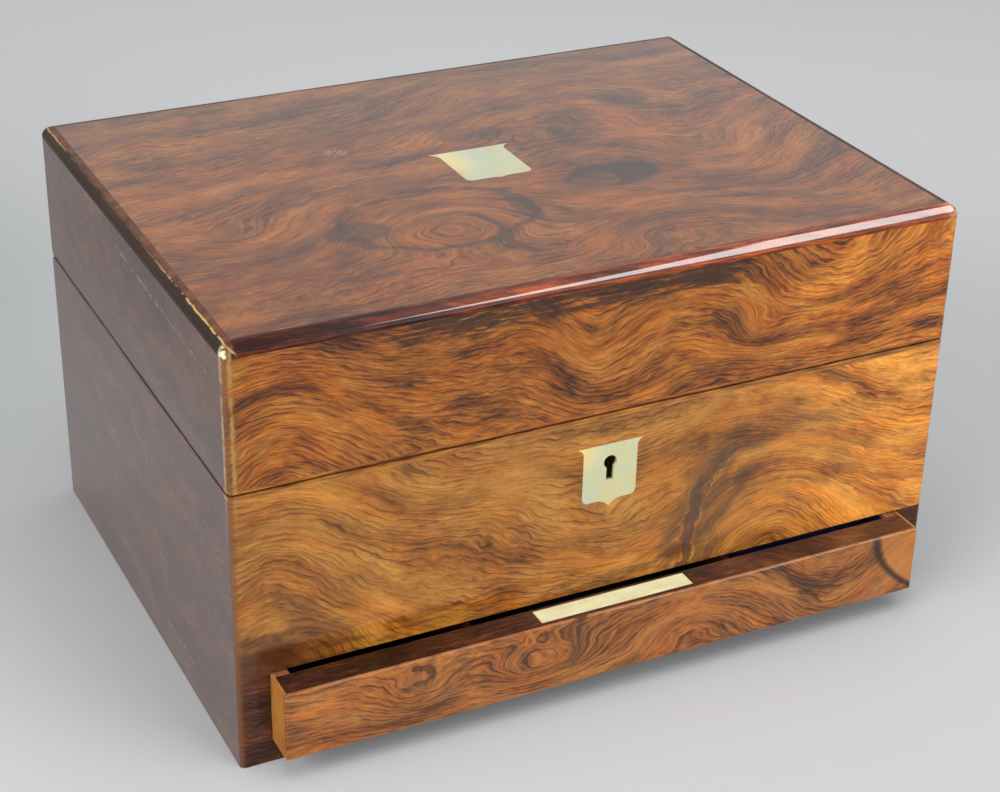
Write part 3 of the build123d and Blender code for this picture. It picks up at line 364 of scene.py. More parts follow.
def worn_corner(wood, colour, x, y, z):
    """Two broken pale lines down the front left corner, strong on the lid and gone lower down."""
    round_corner = (x + HALF_WIDTH) - (y + HALF_DEPTH)
    on_corner = (x + y).within(-258, -262.5)
    high = z.within(96, 116) * 0.35 + z.within(118.2, 119.4) * 0.65
    low = wood.noise(z / 15, 3.1, detail=5, rough=0.75)
    shaky = round_corner + (wood.noise(z / 4, round_corner / 3, detail=4, rough=0.75) - 0.5) * 2.6
    lines = shaky.near(-2.7, 1.9) | shaky.near(2.45, 1.3)
    band = round_corner.near(0.0, 3) * on_corner
    colour = wood.mix(band * 0.8, colour, BARE_BROWN)
    return wood.mix(lines * on_corner * high * (low.within(0.36, 0.54) * 0.8 + 0.2), colour, OLD_GOLD)


def worn_top_edge(wood, colour, x, y, z):
    """The left top edge: dark brown where it is round, a pale broken line, and then the top's colour."""
    round_edge = (x + HALF_WIDTH) - (HEIGHT - z)
    at_left = x.within(-147, -148.5)
    shaky = round_edge + (wood.noise(y / 6, z / 3) - 0.5) * 1.2
    ends = (y.within(-20, -70) | y.within(74, 92) * 0.6) + 0.12
    broken = wood.noise(y / 20, 5.5, detail=5, rough=0.75).within(0.42, 0.5)
    flat = wood.ramp(wood.noise(x / 20, y / 5) * 0.5 + 0.1, *RUSSET)
    colour = wood.mix(round_edge.within(4.6, 2.6) * at_left * 0.9, colour, (0.02, 0.01, 0.006))
    colour = wood.mix(round_edge.within(1.8, 2.8) * at_left, colour, flat)
    return wood.mix(shaky.near(1.5, 0.9) * at_left * ends * broken, colour, BARE_GOLD)


def corner_blobs(wood, colour, x, y, z):
    """Filler at the lid's front left corner, and bare gold wood at its front right corner."""
    near_front = y.within(-107.5, -110.5) * z.within(169, 173.5)
    lumpy = wood.noise(x / 1.6, y / 1.6, z / 1.6, detail=3).within(0.38, 0.5)
    colour = wood.mix(x.within(-150.4, -151.4) * near_front * lumpy * z.within(171.5, 173), colour, FILLER)
    return wood.mix(x.within(144, 151.5) * near_front * lumpy * 0.75, colour, (0.5, 0.27, 0.09))


def side_marks(wood, colour, x, y, z):
    """On the left: a pale rubbed line under the lid's edge, and chips along a crack low down."""
    left = x.within(-151, -152)
    rub = (z - y * 0.045).near(163.5, 0.7) * y.within(24, 8) * y.within(-104, -90)
    rub = rub * wood.noise(y / 5, z / 1.2, detail=3, rough=0.7).within(0.48, 0.6)
    colour = wood.mix(rub * left * 0.7, colour, (0.42, 0.28, 0.17))
    wandering = z + (wood.noise(y / 16, 0.0) - 0.5) * 5
    crack = wandering.near(13.4, 0.45) * y.within(-4, -30)
    colour = wood.mix(crack * left * 0.9, colour, (0.006, 0.004, 0.003))
    chip = wood.noise(y / 3, z / 2).within(0.6, 0.68)
    chip = chip * z.near(15, 3) * y.near(-45, 22)
    return wood.mix(chip * left, colour, (0.36, 0.24, 0.11))


# %% [markdown]
# ## The lid's top
#
# The top is one wide leaf of wild figure: a dark knot right of the shield, a large eye left of it
# and a smaller one at the front, with arches behind them. Each is one hill of the height map, at
# its place in millimetres, and the knot gets a dark stain too. The polish here mirrors the pale
# wall behind the box, which greys the back half, and a painted reflection adds to it: a cool
# tint painted into the colour of that half.

# %% Colours of the wood, from dark to light
GOLDEN = [(0.18, (0.067, 0.0227, 0.0056)), (0.36, (0.1925, 0.0698, 0.0112)), (0.54, (0.3181, 0.131, 0.0214)),
          (0.8, (0.4687, 0.2182, 0.0382))]
AMBER = [(0.18, (0.0301, 0.0092, 0.0028)), (0.36, (0.1354, 0.039, 0.0052)), (0.56, (0.295, 0.096, 0.011)),
         (0.82, (0.456, 0.19, 0.026))]
RUSSET = [(0.18, (0.0326, 0.0112, 0.0056)), (0.38, (0.107, 0.0316, 0.0074)), (0.56, (0.2185, 0.0651, 0.0093)),
          (0.84, (0.372, 0.1302, 0.0149))]
HAZEL = [(0.18, (0.0475, 0.0181, 0.0076)), (0.38, (0.152, 0.0522, 0.0142)), (0.58, (0.2945, 0.1045, 0.0228)),
         (0.84, (0.4275, 0.171, 0.0399))]
SABLE = [(0.18, (0.0139, 0.0051, 0.0032)), (0.4, (0.0444, 0.0133, 0.007)), (0.62, (0.0855, 0.0253, 0.0107)),
         (0.86, (0.1394, 0.0456, 0.0171))]
UMBER = [(0.18, (0.0119, 0.0051, 0.0043)), (0.4, (0.0382, 0.0136, 0.0085)), (0.62, (0.085, 0.0272, 0.0127)),
         (0.86, (0.1445, 0.051, 0.0204))]
CLARET = [(0.24, (0.022, 0.006, 0.004)), (0.44, (0.13, 0.022, 0.005)), (0.62, (0.33, 0.062, 0.008)),
          (0.84, (0.6, 0.17, 0.02))]


def oval(wood, u, v, centre, reach):
    """1 inside an oval whose rim is a little ragged, 0 outside it."""
    ragged = (wood.noise(u / 7, v / 7) - 0.5) * 0.5
    return (spread(u, v, centre, reach) + ragged).within(1.25, 0.75)


# %% The top's veneer
TOP_SWIRLS = [
    (42.5, -31, 19, 11, 22), (-40, -42, 36, 24, -46), (-52, -40, 14, 10, 6), (34, -80, 30, 17, -14),
    (96, -24, 36, 44, 34), (34, 62, 60, 40, -26), (-112, -34, 30, 24, 18),
]


def knots_and_painted_reflection_of_the_top(wood, colour, x, y, z):
    """The dark knot, the two dark lobes of the eye, two dark patches behind the shield, and a painted
    reflection: a cool tint over the back half.
    """
    knot = oval(wood, x, y, (42.5, -30), (21, 11.5))
    half = oval(wood, x, y, (33, -33), (10, 7)) * 0.55
    rim = oval(wood, x, y, (42.5, -30), (25, 14)) - knot
    colour = wood.mix(rim * 0.35, colour, (0.1, 0.03, 0.01))
    colour = wood.mix((knot - half) * 0.88, colour, (0.026, 0.014, 0.012))
    lobes = oval(wood, x, y, (-74, -43), (13, 9)) | oval(wood, x, y, (-5, -45), (5, 15))
    colour = wood.mix(lobes * 0.6, colour, (0.03, 0.014, 0.01))
    ragged = (wood.noise(x / 15, y / 11, detail=4) - 0.5) * 0.65
    brink = (spread(x, y, (-41, -42), (39, 27)) + ragged).near(1.0, 0.22)
    colour = wood.mix(brink * wood.noise(x / 14, y / 14, detail=1.0).within(0.34, 0.5) * 0.7, colour, INK)
    patches = oval(wood, x, y, (8, 32), (15, 7)) | oval(wood, x, y, (88, 46), (13, 10))
    colour = wood.mix(patches * 0.45, colour, (0.03, 0.014, 0.01))
    # Painted reflection: the back half is tinted cool and a little darker, as the pale wall mirrored in the
    # polish greys it.
    colour = wood.mix(y.within(20, 108) * 0.8, colour, (0.76, 0.92, 1.0), "MULTIPLY")
    scuff = oval(wood, x, y, (-51, 35), (5, 5)) * wood.noise(x / 1.5, y / 1.5, detail=3).within(0.5, 0.62)
    return wood.mix(scuff * 0.35, colour, (0.45, 0.36, 0.3))


dress(rosewood("lid_top_rosewood", lambda x, y, z: (x, y), RUSSET, 3.7, -0.08, TOP_SWIRLS, 0.72,
               ink_share=0.6, index=1.44, after=[knots_and_painted_reflection_of_the_top]), "lid_top_veneer")

# %% [markdown]
# ## The fronts of lid, base and drawer
#
# The front shows the best wood: a crowded amber leaf on the lid, a golden one on the base with a
# large dark wave right of the keyhole, and a third on the drawer, whose board behind the veneer
# is plain dark rosewood. They are three calls of the same function with their own swirls.

# %% The lid's front
LID_SWIRLS = [(64, 140, 13, 9, 12), (-10, 146, 20, 34, 15), (-130, 124, 30, 44, -32), (98, 170, 36, 34, 22)]


def upright(x, y, z):
    """Along and across the grain of a front."""
    return x, z


def streaks_of_the_lid(wood, colour, x, y, z):
    """A blackish band under the round edge, left of the middle."""
    glow = x.within(50, 110) * wood.noise(x / 30, z / 8, detail=3).within(0.28, 0.56)
    colour = wood.mix(glow * 0.85, colour, (1.6, 1.55, 1.4), "MULTIPLY")
    wavy = z + (wood.noise(x / 22, z / 7, detail=3) - 0.5) * 12
    band = wavy.within(161, 166) * x.within(62, 40) * x.within(-112, -84)
    torn = wood.noise(x / 26, z / 2.2, detail=3, rough=0.65).within(0.36, 0.52)
    return wood.mix(band * torn * 0.85, colour, (0.02, 0.01, 0.007))


dress(rosewood("lid_front_rosewood", upright, AMBER, 8.1, 0.06, LID_SWIRLS, 0.9, ink_share=0.6,
               after=[streaks_of_the_lid, worn_corner, corner_blobs]), "lid_front_veneer")

# %% The base's front
BASE_SWIRLS = [(77, 44, 40, 44, -50), (-132, 78, 40, 50, -30), (0, 66, 46, 40, 12)]


def wave_of_the_base(wood, colour, x, y, z):
    """The dark wave that bends over a golden field, in two bands, and dark blots over the drawer."""
    wander = (wood.noise(x / 15, z / 15, detail=3) - 0.5) * 0.36
    away = spread(x, z, (77, 50), (45, 50)).math("SQRT") + wander
    outer = away.near(0.93, 0.3) * (x.within(118, 96) * 0.5 + x.within(78, 50) * 0.5)
    inner = away.near(0.64, 0.2) * x.within(96, 64) * z.within(92, 74)
    between = away.within(0.55, 0.64) * away.within(1.0, 0.93)
    between = between * x.within(70, 44) * z.within(102, 84) * 0.7
    grain = wood.noise(away * 16, x / 26, detail=3, rough=0.65).within(0.18, 0.55)
    dark = outer | inner * 0.75 | between
    field = x.within(24, 84) * wood.noise(x / 30, z / 7, detail=3).within(0.3, 0.62)
    field = field | z.within(72, 44) * 0.8
    colour = wood.mix(field * 0.7, colour, (1.5, 1.4, 1.2), "MULTIPLY")
    colour = wood.mix(x.within(62, 104) * 0.9, colour, (1.5, 1.45, 1.3), "MULTIPLY")
    colour = wood.mix(dark * grain * 0.88, colour, (0.06, 0.034, 0.02))
    blots = wood.noise(x / 22, z / 3, detail=3).within(0.48, 0.6)
    blots = blots * z.within(58, 46) * x.within(70, 20)
    colour = wood.mix(blots * 0.45, colour, (0.04, 0.016, 0.008))
    ragged = z + (wood.noise(x / 12, z / 5, detail=3) - 0.5) * 24
    end = ragged.within(68, 50) * x.within(-96, -136)
    return wood.mix(end * 0.9, colour, (0.045, 0.014, 0.006))


dress(rosewood("base_front_rosewood", upright, GOLDEN, 5.3, 0.16, BASE_SWIRLS, 0.74, ink_share=0.45,
               after=[wave_of_the_base, worn_corner]), "front_veneer")

# %% The drawer's face, its dark board and its ends
DRAWER_SWIRLS = [(-88, 24, 20, 12, 14), (-34, 22, 26, 11, 20), (98, 24, 34, 60, 30), (30, 24, 22, 11, -14)]
DRAWER_TOP = 39.8


def marks_of_the_drawer(wood, colour, x, y, z):
    """A dark curved line near the right end, and the rubbed top edge."""
    curve = x - (120 + (DRAWER_TOP - z) * (DRAWER_TOP - z) * 0.026)
    colour = wood.mix(curve.near(-0.5, 3.6) * 0.92, colour, (0.016, 0.008, 0.005))
    colour = wood.mix(curve.within(1.0, 3) * 0.5, colour, (0.5, 0.19, 0.035))
    rubbed = z.within(39.15, 39.5) * wood.noise(x / 14, z / 2).within(0.34, 0.5)
    return wood.mix(rubbed * 0.4, colour, (0.4, 0.2, 0.11))


dress(rosewood("drawer_face_rosewood", upright, HAZEL, 12.9, 0.0, DRAWER_SWIRLS, sway=20, ripple=4.5,
               after=[marks_of_the_drawer]), "drawer_front_veneer")


def paler(wood, colour, x, y, z):
    """Plain sapwood, paler than the rest."""
    return wood.mix(0.3, colour, (0.6, 0.26, 0.06))


dress(rosewood("drawer_end_rosewood", lambda x, y, z: (z, y), GOLDEN, 4.4, contrast=0.6, ink_share=0.3,
               after=[paler]), "drawer_end_veneers")
dress(rosewood("board_rosewood", lambda x, y, z: (x, y + z), UMBER, 6.6), "drawer_front",
      "drawer_partitions")

# %% [markdown]
# ## Sides, back, edge strips and facings
#
# Plainer, darker veneer covers the ends and the back. The solid strips along the lid's edges and
# the facings of the two rims are mitred frames, whose grain turns at each corner, so their grain
# direction is chosen by which outer face of the box is nearer.


# %% Where the grain runs on a mitred frame and round the box
def frame_grain(x, y, z):
    """Along and across the strips of a mitred frame."""
    side = (HALF_WIDTH - abs(x)).math("LESS_THAN", HALF_DEPTH - abs(y))
    return x + (y - x) * side, (y + (x - y) * side) + z


def outside_grain(x, y, z):
    """Along and across the veneers of the ends and the back."""
    side = y.math("LESS_THAN", 111.2)
    return x - (x + y) * side, z


def amber_front(wood, colour, x, y, z):
    """At the front the rims' facings are as light as the veneers, and dark on the other three sides."""
    thread = wood.noise(x / 16, z / 1.2, detail=3, rough=0.65)
    front = wood.mix(z.within(117.5, 117.2), wood.ramp(thread, *AMBER), wood.ramp(thread, *GOLDEN))
    front = wood.mix(z.near(117.2, 0.25) * 0.6, front, (0.06, 0.022, 0.008))
    return wood.mix(y.within(-107.2, -107.6), colour, front)


def red_front(wood, colour, x, y, z):
    """The strip over the lid's front is a redder, brighter piece of wood than the other three."""
    flame = wood.noise((x + z * 4) / 24, (z - y) / 1.3, detail=4, rough=0.7)
    dull = x.within(20, -110) * 0.24
    strip = wood.ramp(flame - dull, *CLARET)
    seam = (y + 107.5).near(0.0, 0.5) * z.within(175, 176.5)
    colour = wood.mix(y.within(-107.2, -107.6) * abs(x).within(151, 149), colour, strip)
    return wood.mix(seam * 0.7, colour, (0.012, 0.006, 0.004))


def outermost(x, y):
    """1 on the outer half millimetre of the box's four sides, 0 further in."""
    return abs(x).within(151.7, 152.2) | abs(y).within(111.7, 112.2)


def painted_shade_at_shut_line(wood, colour, x, y, z):
    """The outer edges where lid and base meet, painted black as the shade in the gap between them, and at the
    front only the lid's.
    """
    front = y.within(-110.5, -111.5)
    line = (z - front * 0.25).near(LID_LINE, 0.9 - front * 0.35) * outermost(x, y)
    # Painted shade: the gap between lid and base is drawn as a black line on the outer edges.
    return wood.mix(line * 2, colour, (0.003, 0.002, 0.002))


def outer_polish(x, y, z):
    """Full polish on the outside of a rim, and a thin film on the faces that meet."""
    return 0.1 + outermost(x, y) * abs(z - LID_LINE).within(0.5, 1.0) * 0.8


def side_polish(x, y, z):
    """The lid's ends and back have lost a little more of their polish than the base's."""
    return 1.0 - z.within(120, 150) * 0.12


def strip_polish(x, y, z):
    """Full polish on the rounding of the front strip, and less on its flat and on the other three."""
    front = z.within(172.9, 173.7) * y.within(-107.6, -108.4) * (x.within(-150, -60) * 0.7 + 0.24)
    left_flat = x.within(-150.8, -149.6) * x.within(-146, -147)
    return 0.06 + (front | left_flat * 0.2)


dress(rosewood("strip_rosewood", frame_grain, UMBER, 2.2, sway=6, index=2.3, polish=strip_polish,
               after=[red_front, worn_top_edge, worn_corner, corner_blobs]), "lid_edge_strips")
for node, name, seed in (("base_rim_facing", "rim_rosewood", 7.3),
                         ("lid_rim_facing", "lid_rim_rosewood", 1.9)):
    dress(rosewood(name, frame_grain, UMBER, seed, sway=6, index=1.48, polish=outer_polish,
                   after=[amber_front, worn_corner, painted_shade_at_shut_line]), node)
dress(rosewood("side_rosewood", outside_grain, SABLE, 9.4, 0.05, contrast=0.65, ink_share=0.5,
               index=1.48, polish=side_polish, after=[worn_corner, side_marks]),
      "base_outer_veneers", "lid_outer_veneers")
dress(rosewood("surround_rosewood", upright, UMBER, 3.3, sway=6, polish=lambda x, y, z: 0.6,
               after=[worn_corner]), "drawer_surround_veneer")
dress(rosewood("inner_rosewood", frame_grain, RUSSET, 11.7, sway=8), "fitted_frame", "tray_frame",
      "tray_ledges", "mirror_frame")

# %% [markdown]
# ## Mahogany boards
#
# Under the rosewood the box is a plain mahogany carcass. It shows at the drawer's sides, behind
# the rims and inside the keyhole, redder and straight-grained under wax, with no clear coat.


# %% Mahogany, along any direction
def mahogany(name, face, dark=None):
    """Plain waxed boards. face gives the places along and across the grain, dark a share of painted shade,
    near black.
    """
    wood = Finish(name)
    x, y, z = wood.place()
    u, v = face(x, y, z)
    height = grain_height(wood, u, v, 0.0, 2.6, (), 10, 1.5)
    ribbon = wood.noise(height / 6, u / 90, detail=3)
    pore = wood.noise(height / 0.5, u / 5, detail=1.0).within(0.6, 0.7)
    light = ribbon * 0.8 + wood.noise(height / 1.2, u / 22) * 0.3
    colour = wood.ramp(light, (0.35, (0.13, 0.045, 0.02)), (0.72, (0.3, 0.12, 0.055)))
    colour = wood.mix(pore * 0.5, colour, (0.05, 0.018, 0.01))
    if dark:
        # Painted shade: near black is mixed in by the dark share.
        colour = wood.mix(dark(x, y, z), colour, (0.004, 0.003, 0.002))
    wood.set(Base_Color=colour, Roughness=0.55 - light * 0.1)
    wood.relief(1.0 - pore, 0.04, 0.5)
    return wood


dress(mahogany("mahogany_along", lambda x, y, z: (x, y + z)), "bottom_board", "base_back_wall",
      "drawer_divider", "lid_board", "drawer_back", "drawer_floor", "mirror_backing", "mirror_rails")
dress(mahogany("mahogany_deep", lambda x, y, z: (y, x + z)), "base_side_walls", "drawer_sides", "lid_walls")
# Painted shade: the lock's wall is darkened round the keyhole, where shade falls inside the hole.
dress(mahogany("mahogany_lock", upright, dark=lambda x, y, z: x.near(0.0, 9) * z.near(94, 12)),
      "base_front_wall")

# %% [markdown]
# ## Mother of pearl
#
# The keyhole plate, the shield and the handles of the tools are cut from shell: a milky cream
# with clouds of yellow, green and blue that follow the shell's layers. It is hard and glossy,
# and its clouds are large and faint.


# %% Shell, with its clouds
def shell(name, face, base=(0.46, 0.44, 0.22), corner_yellow=0.0):
    """Mother of pearl. base is its main colour, and the last argument how yellow its upper left part is."""
    pearl = Finish(name)
    u, v = face(*pearl.place())
    drift = (pearl.noise(u / 16, v / 12, detail=1.0) - 0.5) * 20
    layer = pearl.noise((u + drift) / 9, v / 26 + 4)
    fine = pearl.noise((u + drift) / 1.6, v / 9)
    tint = pearl.ramp(layer, (0.32, (0.54, 0.43, 0.19)), (0.45, (0.51, 0.49, 0.28)),
                      (0.56, (0.42, 0.49, 0.32)), (0.68, (0.38, 0.48, 0.42)))
    colour = pearl.mix(0.55, base, tint)
    colour = pearl.mix(fine.within(0.55, 0.75) * 0.25, colour, (0.52, 0.43, 0.33))
    if corner_yellow:
        # The upper left part is mixed towards yellow.
        yellow = u.within(2, -14) * v.within(0.0, 10) * corner_yellow
        colour = pearl.mix(yellow, colour, (0.7, 0.56, 0.2))
    pearl.set(Base_Color=colour, Roughness=0.22, Coat_Weight=0.8, Coat_Roughness=0.05)
    pearl.relief(fine, 0.01, 0.3)
    return pearl


dress(shell("plate_pearl", lambda x, y, z: (x, z - 92), corner_yellow=0.7), "keyhole_plate")
dress(shell("shield_pearl", lambda x, y, z: (x, y + 8), (0.34, 0.35, 0.2), 0.6), "lid_shield")
dress(shell("handle_pearl", lambda x, y, z: (x, y), (0.8, 0.8, 0.7)), "tool_handles")

# %% The bare label of the drawer
label = Finish("label_ivory")
x, y, z = label.place()
cloud = label.noise(x / 13, y / 5, detail=3)
speck = label.noise(x / 0.9, y / 0.9, detail=1.0).within(0.66, 0.74)
edge = abs(x).within(32.6, 33.4) | abs(y + 120.35).within(3.5, 4.1)
colour = label.ramp(cloud, (0.3, (0.64, 0.6, 0.34)), (0.7, (0.74, 0.73, 0.47)))
colour = label.mix(speck * 0.25, colour, (0.5, 0.4, 0.2))
colour = label.mix(edge * 0.35, colour, (0.55, 0.42, 0.2))
label.set(Base_Color=colour, Roughness=0.5, Coat_Weight=0.25, Coat_Roughness=0.2)
label.relief(cloud, 0.02, 0.4)
dress(label, "drawer_label")

# %% [markdown]
# ## Metals
#
# Brass fittings have gone dull and warm, steel blades keep fine grinding lines, and the jars'
# tops are silver plate, engraved with a plain border and rays. The engraving is drawn by
# distances and angles, as on a lathe, and only its grooves reach the bump.


# %% Brass and steel
def metal(name, colour, tarnish, rough, stretch):
    """Metal with clouds of tarnish and fine lines that run along stretch."""
    alloy = Finish(name)
    x, y, z = alloy.place()
    cloud = alloy.noise(x / 9, y / 9, z / 9, detail=3)
    line = alloy.noise(x / stretch[0], y / stretch[1], z / stretch[2])
    tone = alloy.mix(cloud.within(0.42, 0.66) * 0.6, colour, tarnish)
    alloy.set(Base_Color=tone, Metallic=0.85, Roughness=rough + (cloud - 0.5) * 0.25 + (line - 0.5) * 0.12)
    alloy.relief(line, 0.01, 0.3)
    return alloy


brass = metal("aged_brass", (0.8, 0.55, 0.21), (0.46, 0.28, 0.1), 0.32, (0.3, 2, 0.3))
dress(brass, "lock_case", "lock_cap_plate", "lock_bolt", "link_plate", "hinge_base_leaves",
      "hinge_lid_leaves", "hinge_pins", "release_pin", "mirror_button", "drawer_catch", "base_screws",
      "lid_screws")
steel = metal("ground_steel", (0.74, 0.74, 0.75), (0.5, 0.48, 0.45), 0.28, (2.5, 0.4, 2.5))
dress(steel, "tool_blades")
blue_steel = metal("spring_steel", (0.26, 0.28, 0.34), (0.14, 0.12, 0.12), 0.3, (3, 3, 0.25))
dress(blue_steel, "drawer_spring")


# %% Silver plate with an engraved border and rays
def silver_plate(name, shapes, top):
    """shapes are (x, y, half width, half depth) of each top; rays fan out from its middle."""
    silver = Finish(name)
    x, y, z = silver.place()
    groove = None
    for centre_x, centre_y, half_x, half_y in shapes:
        dx, dy = x - centre_x, y - centre_y
        reach = abs(dx) * (1 / half_x) | abs(dy) * (1 / half_y)
        angle = dy.math("ARCTAN2", dx) * (36 / math.tau)
        ray = angle.math("FRACT").near(0.5, 0.3) * reach.near(0.4, 0.18)
        border = reach.near(0.66, 0.02) | reach.near(0.72, 0.02) | reach.near(0.16, 0.025)
        mark = (border | ray) * reach.math("LESS_THAN", 1.2)
        groove = mark if groove is None else groove | mark
    groove = groove * z.math("GREATER_THAN", top)
    cloud = silver.noise(x / 11, y / 11, z / 11, detail=3)
    colour = silver.mix(cloud.within(0.45, 0.68) * 0.5, (0.86, 0.85, 0.82), (0.62, 0.57, 0.49))
    colour = silver.mix(groove * 0.45, colour, (0.3, 0.27, 0.23))
    silver.set(Base_Color=colour, Metallic=0.75, Roughness=0.22 + cloud * 0.16 + groove * 0.2)
    silver.relief(1.0 - groove, 0.12, 0.8)
    return silver


COLUMN_WALL, JAR_GAP, CAP_RADIUS = 81, 4.5, 14


def tops_of(name):
    """The middle and half sizes of a node's top, or of both where the node holds a mirrored pair."""
    low, high = (corner * 1000 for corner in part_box(name))
    middle_y, half_y = (low.y + high.y) / 2, (high.y - low.y) / 2
    if name == "long_jar_top":
        return [((low.x + high.x) / 2, middle_y, (high.x - low.x) / 2, half_y)]
    half_x = CAP_RADIUS if name == "scent_caps" else (high.x - COLUMN_WALL - JAR_GAP) / 2
    return [(side * (high.x - half_x), middle_y, half_x, half_y) for side in (-1, 1)]


for node, name, top in (("scent_caps", "cap_silver", 105), ("powder_jar_tops", "jar_silver", 104),
                        ("long_jar_top", "long_jar_silver", 104)):
    dress(silver_plate(name, tops_of(node), top), node)

# %% [markdown]
# ## Glass
#
# The jars are cut lead glass, clear and a little green in the thick parts, and the mirror is old
# silvered plate glass with specks where the silver has failed. Cut glass is never perfectly
# smooth, so faint ripples go to its bump, with a lattice of cuts on the lower part of the jars.

# %% Cut glass and the mirror
glass = Finish("cut_glass")
x, y, z = glass.place()
ripple = glass.noise(x / 6, y / 6, z / 6)
falling = ((x + z) / 4).math("FRACT").near(0.5, 0.25)
rising = ((x - z) / 4).math("FRACT").near(0.5, 0.25)
cuts = falling | rising
glass.set(Base_Color=glass.ramp(ripple, (0.3, (0.93, 0.97, 0.95)), (0.7, (0.98, 1.0, 0.99))))
glass.set(Roughness=0.02 + ripple * 0.04, Transmission_Weight=1.0, IOR=1.52)
glass.relief(ripple * 0.4 + cuts * z.within(60, 58) * 0.6, 0.25, 0.6)
dress(glass, "scent_bottles", "powder_jars", "long_jar")

mirror = Finish("old_mirror")
x, y, z = mirror.place()
speck = mirror.noise(x / 1.4, y / 1.4).within(0.68, 0.76)
rim = abs(x).within(112, 128) | abs(y - 4.8).within(74, 90)
haze = mirror.noise(x / 40, y / 40, detail=3)
spots = speck * (rim * 0.8 + 0.1)
mirror.set(Base_Color=mirror.mix(spots, (0.82, 0.85, 0.84), (0.1, 0.08, 0.06)), Metallic=1.0 - spots * 0.6)
mirror.set(Roughness=0.015 + haze.within(0.5, 0.8) * 0.03 + spots * 0.3)
mirror.relief(haze, 0.02, 0.2)
dress(mirror, "mirror_glass")

# %% [markdown]
# ## Velvet and cloth
#
# Silk velvet is dark and deep blue where one looks down into the pile and bright along its
# folds, which the sheen socket gives. The pile leans in patches, so large soft noise changes
# the colour and a very fine noise gives the tips of the threads. The cloth under the box is a
# plain dark felt.

# %% Blue velvet and felt
velvet = Finish("blue_velvet")
x, y, z = velvet.place()
lean = velvet.noise(x / 22, y / 22, z / 22, detail=3)
tip = velvet.noise(x / 0.35, y / 0.35, z / 0.35, detail=1.0)
colour = velvet.ramp(lean * 0.7 + tip * 0.3, (0.35, (0.003, 0.005, 0.026)), (0.68, (0.016, 0.024, 0.1)))
velvet.set(Base_Color=colour, Roughness=0.85, Specular_IOR_Level=0.1, Sheen_Weight=0.6)
velvet.set(Sheen_Roughness=0.35, Sheen_Tint=(0.3, 0.38, 0.85))
velvet.relief(tip * 0.6 + lean * 0.4, 0.35, 0.6)

felt = Finish("dark_felt")
x, y, z = felt.place()
fibre = felt.noise(x / 0.6, y / 2.2, detail=3, rough=0.7)
nap = felt.noise(x / 30, y / 30)
shade = felt.ramp(fibre * 0.6 + nap * 0.4, (0.3, (0.02, 0.03, 0.022)), (0.7, (0.06, 0.085, 0.06)))
felt.set(Base_Color=shade, Roughness=0.95, Sheen_Weight=0.3)
felt.relief(fibre, 0.3, 0.7)

# %% [markdown]
# ## Modelling tools
#
# The soft pieces are modelled as by hand: a primitive at its size and place, faces picked by
# their direction or place, inset, moved and bevelled, and modifiers applied at the end. A few
# small helpers keep that short. Each piece ends with its object at the origin, as the CAD's do.


# %% Starting, picking and finishing a piece
def begin(name, primitive, low=None, high=None, **settings):
    """A primitive, alone in the selection; with two corners in millimetres it fills their box."""
    bpy.ops.object.select_all(action="DESELECT")
    if low:
        low, high = Vector(low) / 1000, Vector(high) / 1000
        settings.update(size=1.0, location=(low + high) / 2)
    primitive(**settings)
    piece = bpy.context.object
    piece.name = piece.data.name = name
    if low:
        span = high - low
        piece.scale = [max(side, 1e-6) for side in span]
    bpy.ops.object.transform_apply(location=True, rotation=True, scale=True)
    return piece


def pick(piece, test, kind="FACE"):
    """In edit mode, exactly the faces or vertices that pass the test are selected."""
    bpy.ops.object.mode_set(mode="EDIT")
    bpy.ops.mesh.select_mode(type=kind)
    bpy.ops.mesh.select_all(action="DESELECT")
    bpy.ops.object.mode_set(mode="OBJECT")
    parts = piece.data.polygons if kind == "FACE" else piece.data.vertices
    for part in parts:
        part.select = test(part)
    bpy.ops.object.mode_set(mode="EDIT")


def carry_out(piece, *modifiers):
    """Applies modifiers, each a type and its settings, and shades the piece smooth."""
    if bpy.context.mode != "OBJECT":
        bpy.ops.object.mode_set(mode="OBJECT")
    for kind, settings in modifiers:
        step = piece.modifiers.new(kind.lower(), kind)
        for setting, value in settings.items():
            setattr(step, setting, value)
        bpy.ops.object.modifier_apply(modifier=step.name)
    bpy.ops.object.shade_smooth_by_angle(angle=math.radians(50))
    return piece


def unite(name, parts):
    """Joins parts into one object."""
    bpy.ops.object.select_all(action="DESELECT")
    for part in parts:
        part.select_set(True)
    bpy.context.view_layer.objects.active = parts[0]
    bpy.ops.object.join()
    piece = bpy.context.object
    piece.name = piece.data.name = name
    return piece


def hand_over(piece, body, finish, slot, *replaced):
    """Gives a piece its finish, its body and the CAD nodes that it stands for."""
    piece.data.materials.clear()
    piece.data.materials.append(finish.material)
    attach(piece, body)
    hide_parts(*replaced)
    covered.update(replaced)
    size = [round((max(c) - min(c)) * 1000, 1) for c in zip(*(v.co for v in piece.data.vertices))]
    print(f"{piece.name}: {size} mm, {len(piece.data.polygons)} faces")
    return piece


# %% [markdown]
# ## Velvet-covered pads and wall linings
#
# Each cell has a card covered with velvet on its floor, and the open cells, the lid and the
# drawer have such cards up their walls. A card is a block whose showing face is inset twice and
# raised, so that the velvet is a little fuller in the middle, and whose edges are bevelled and
# then subdivided, so that the cloth turns softly over them. One function makes them all.


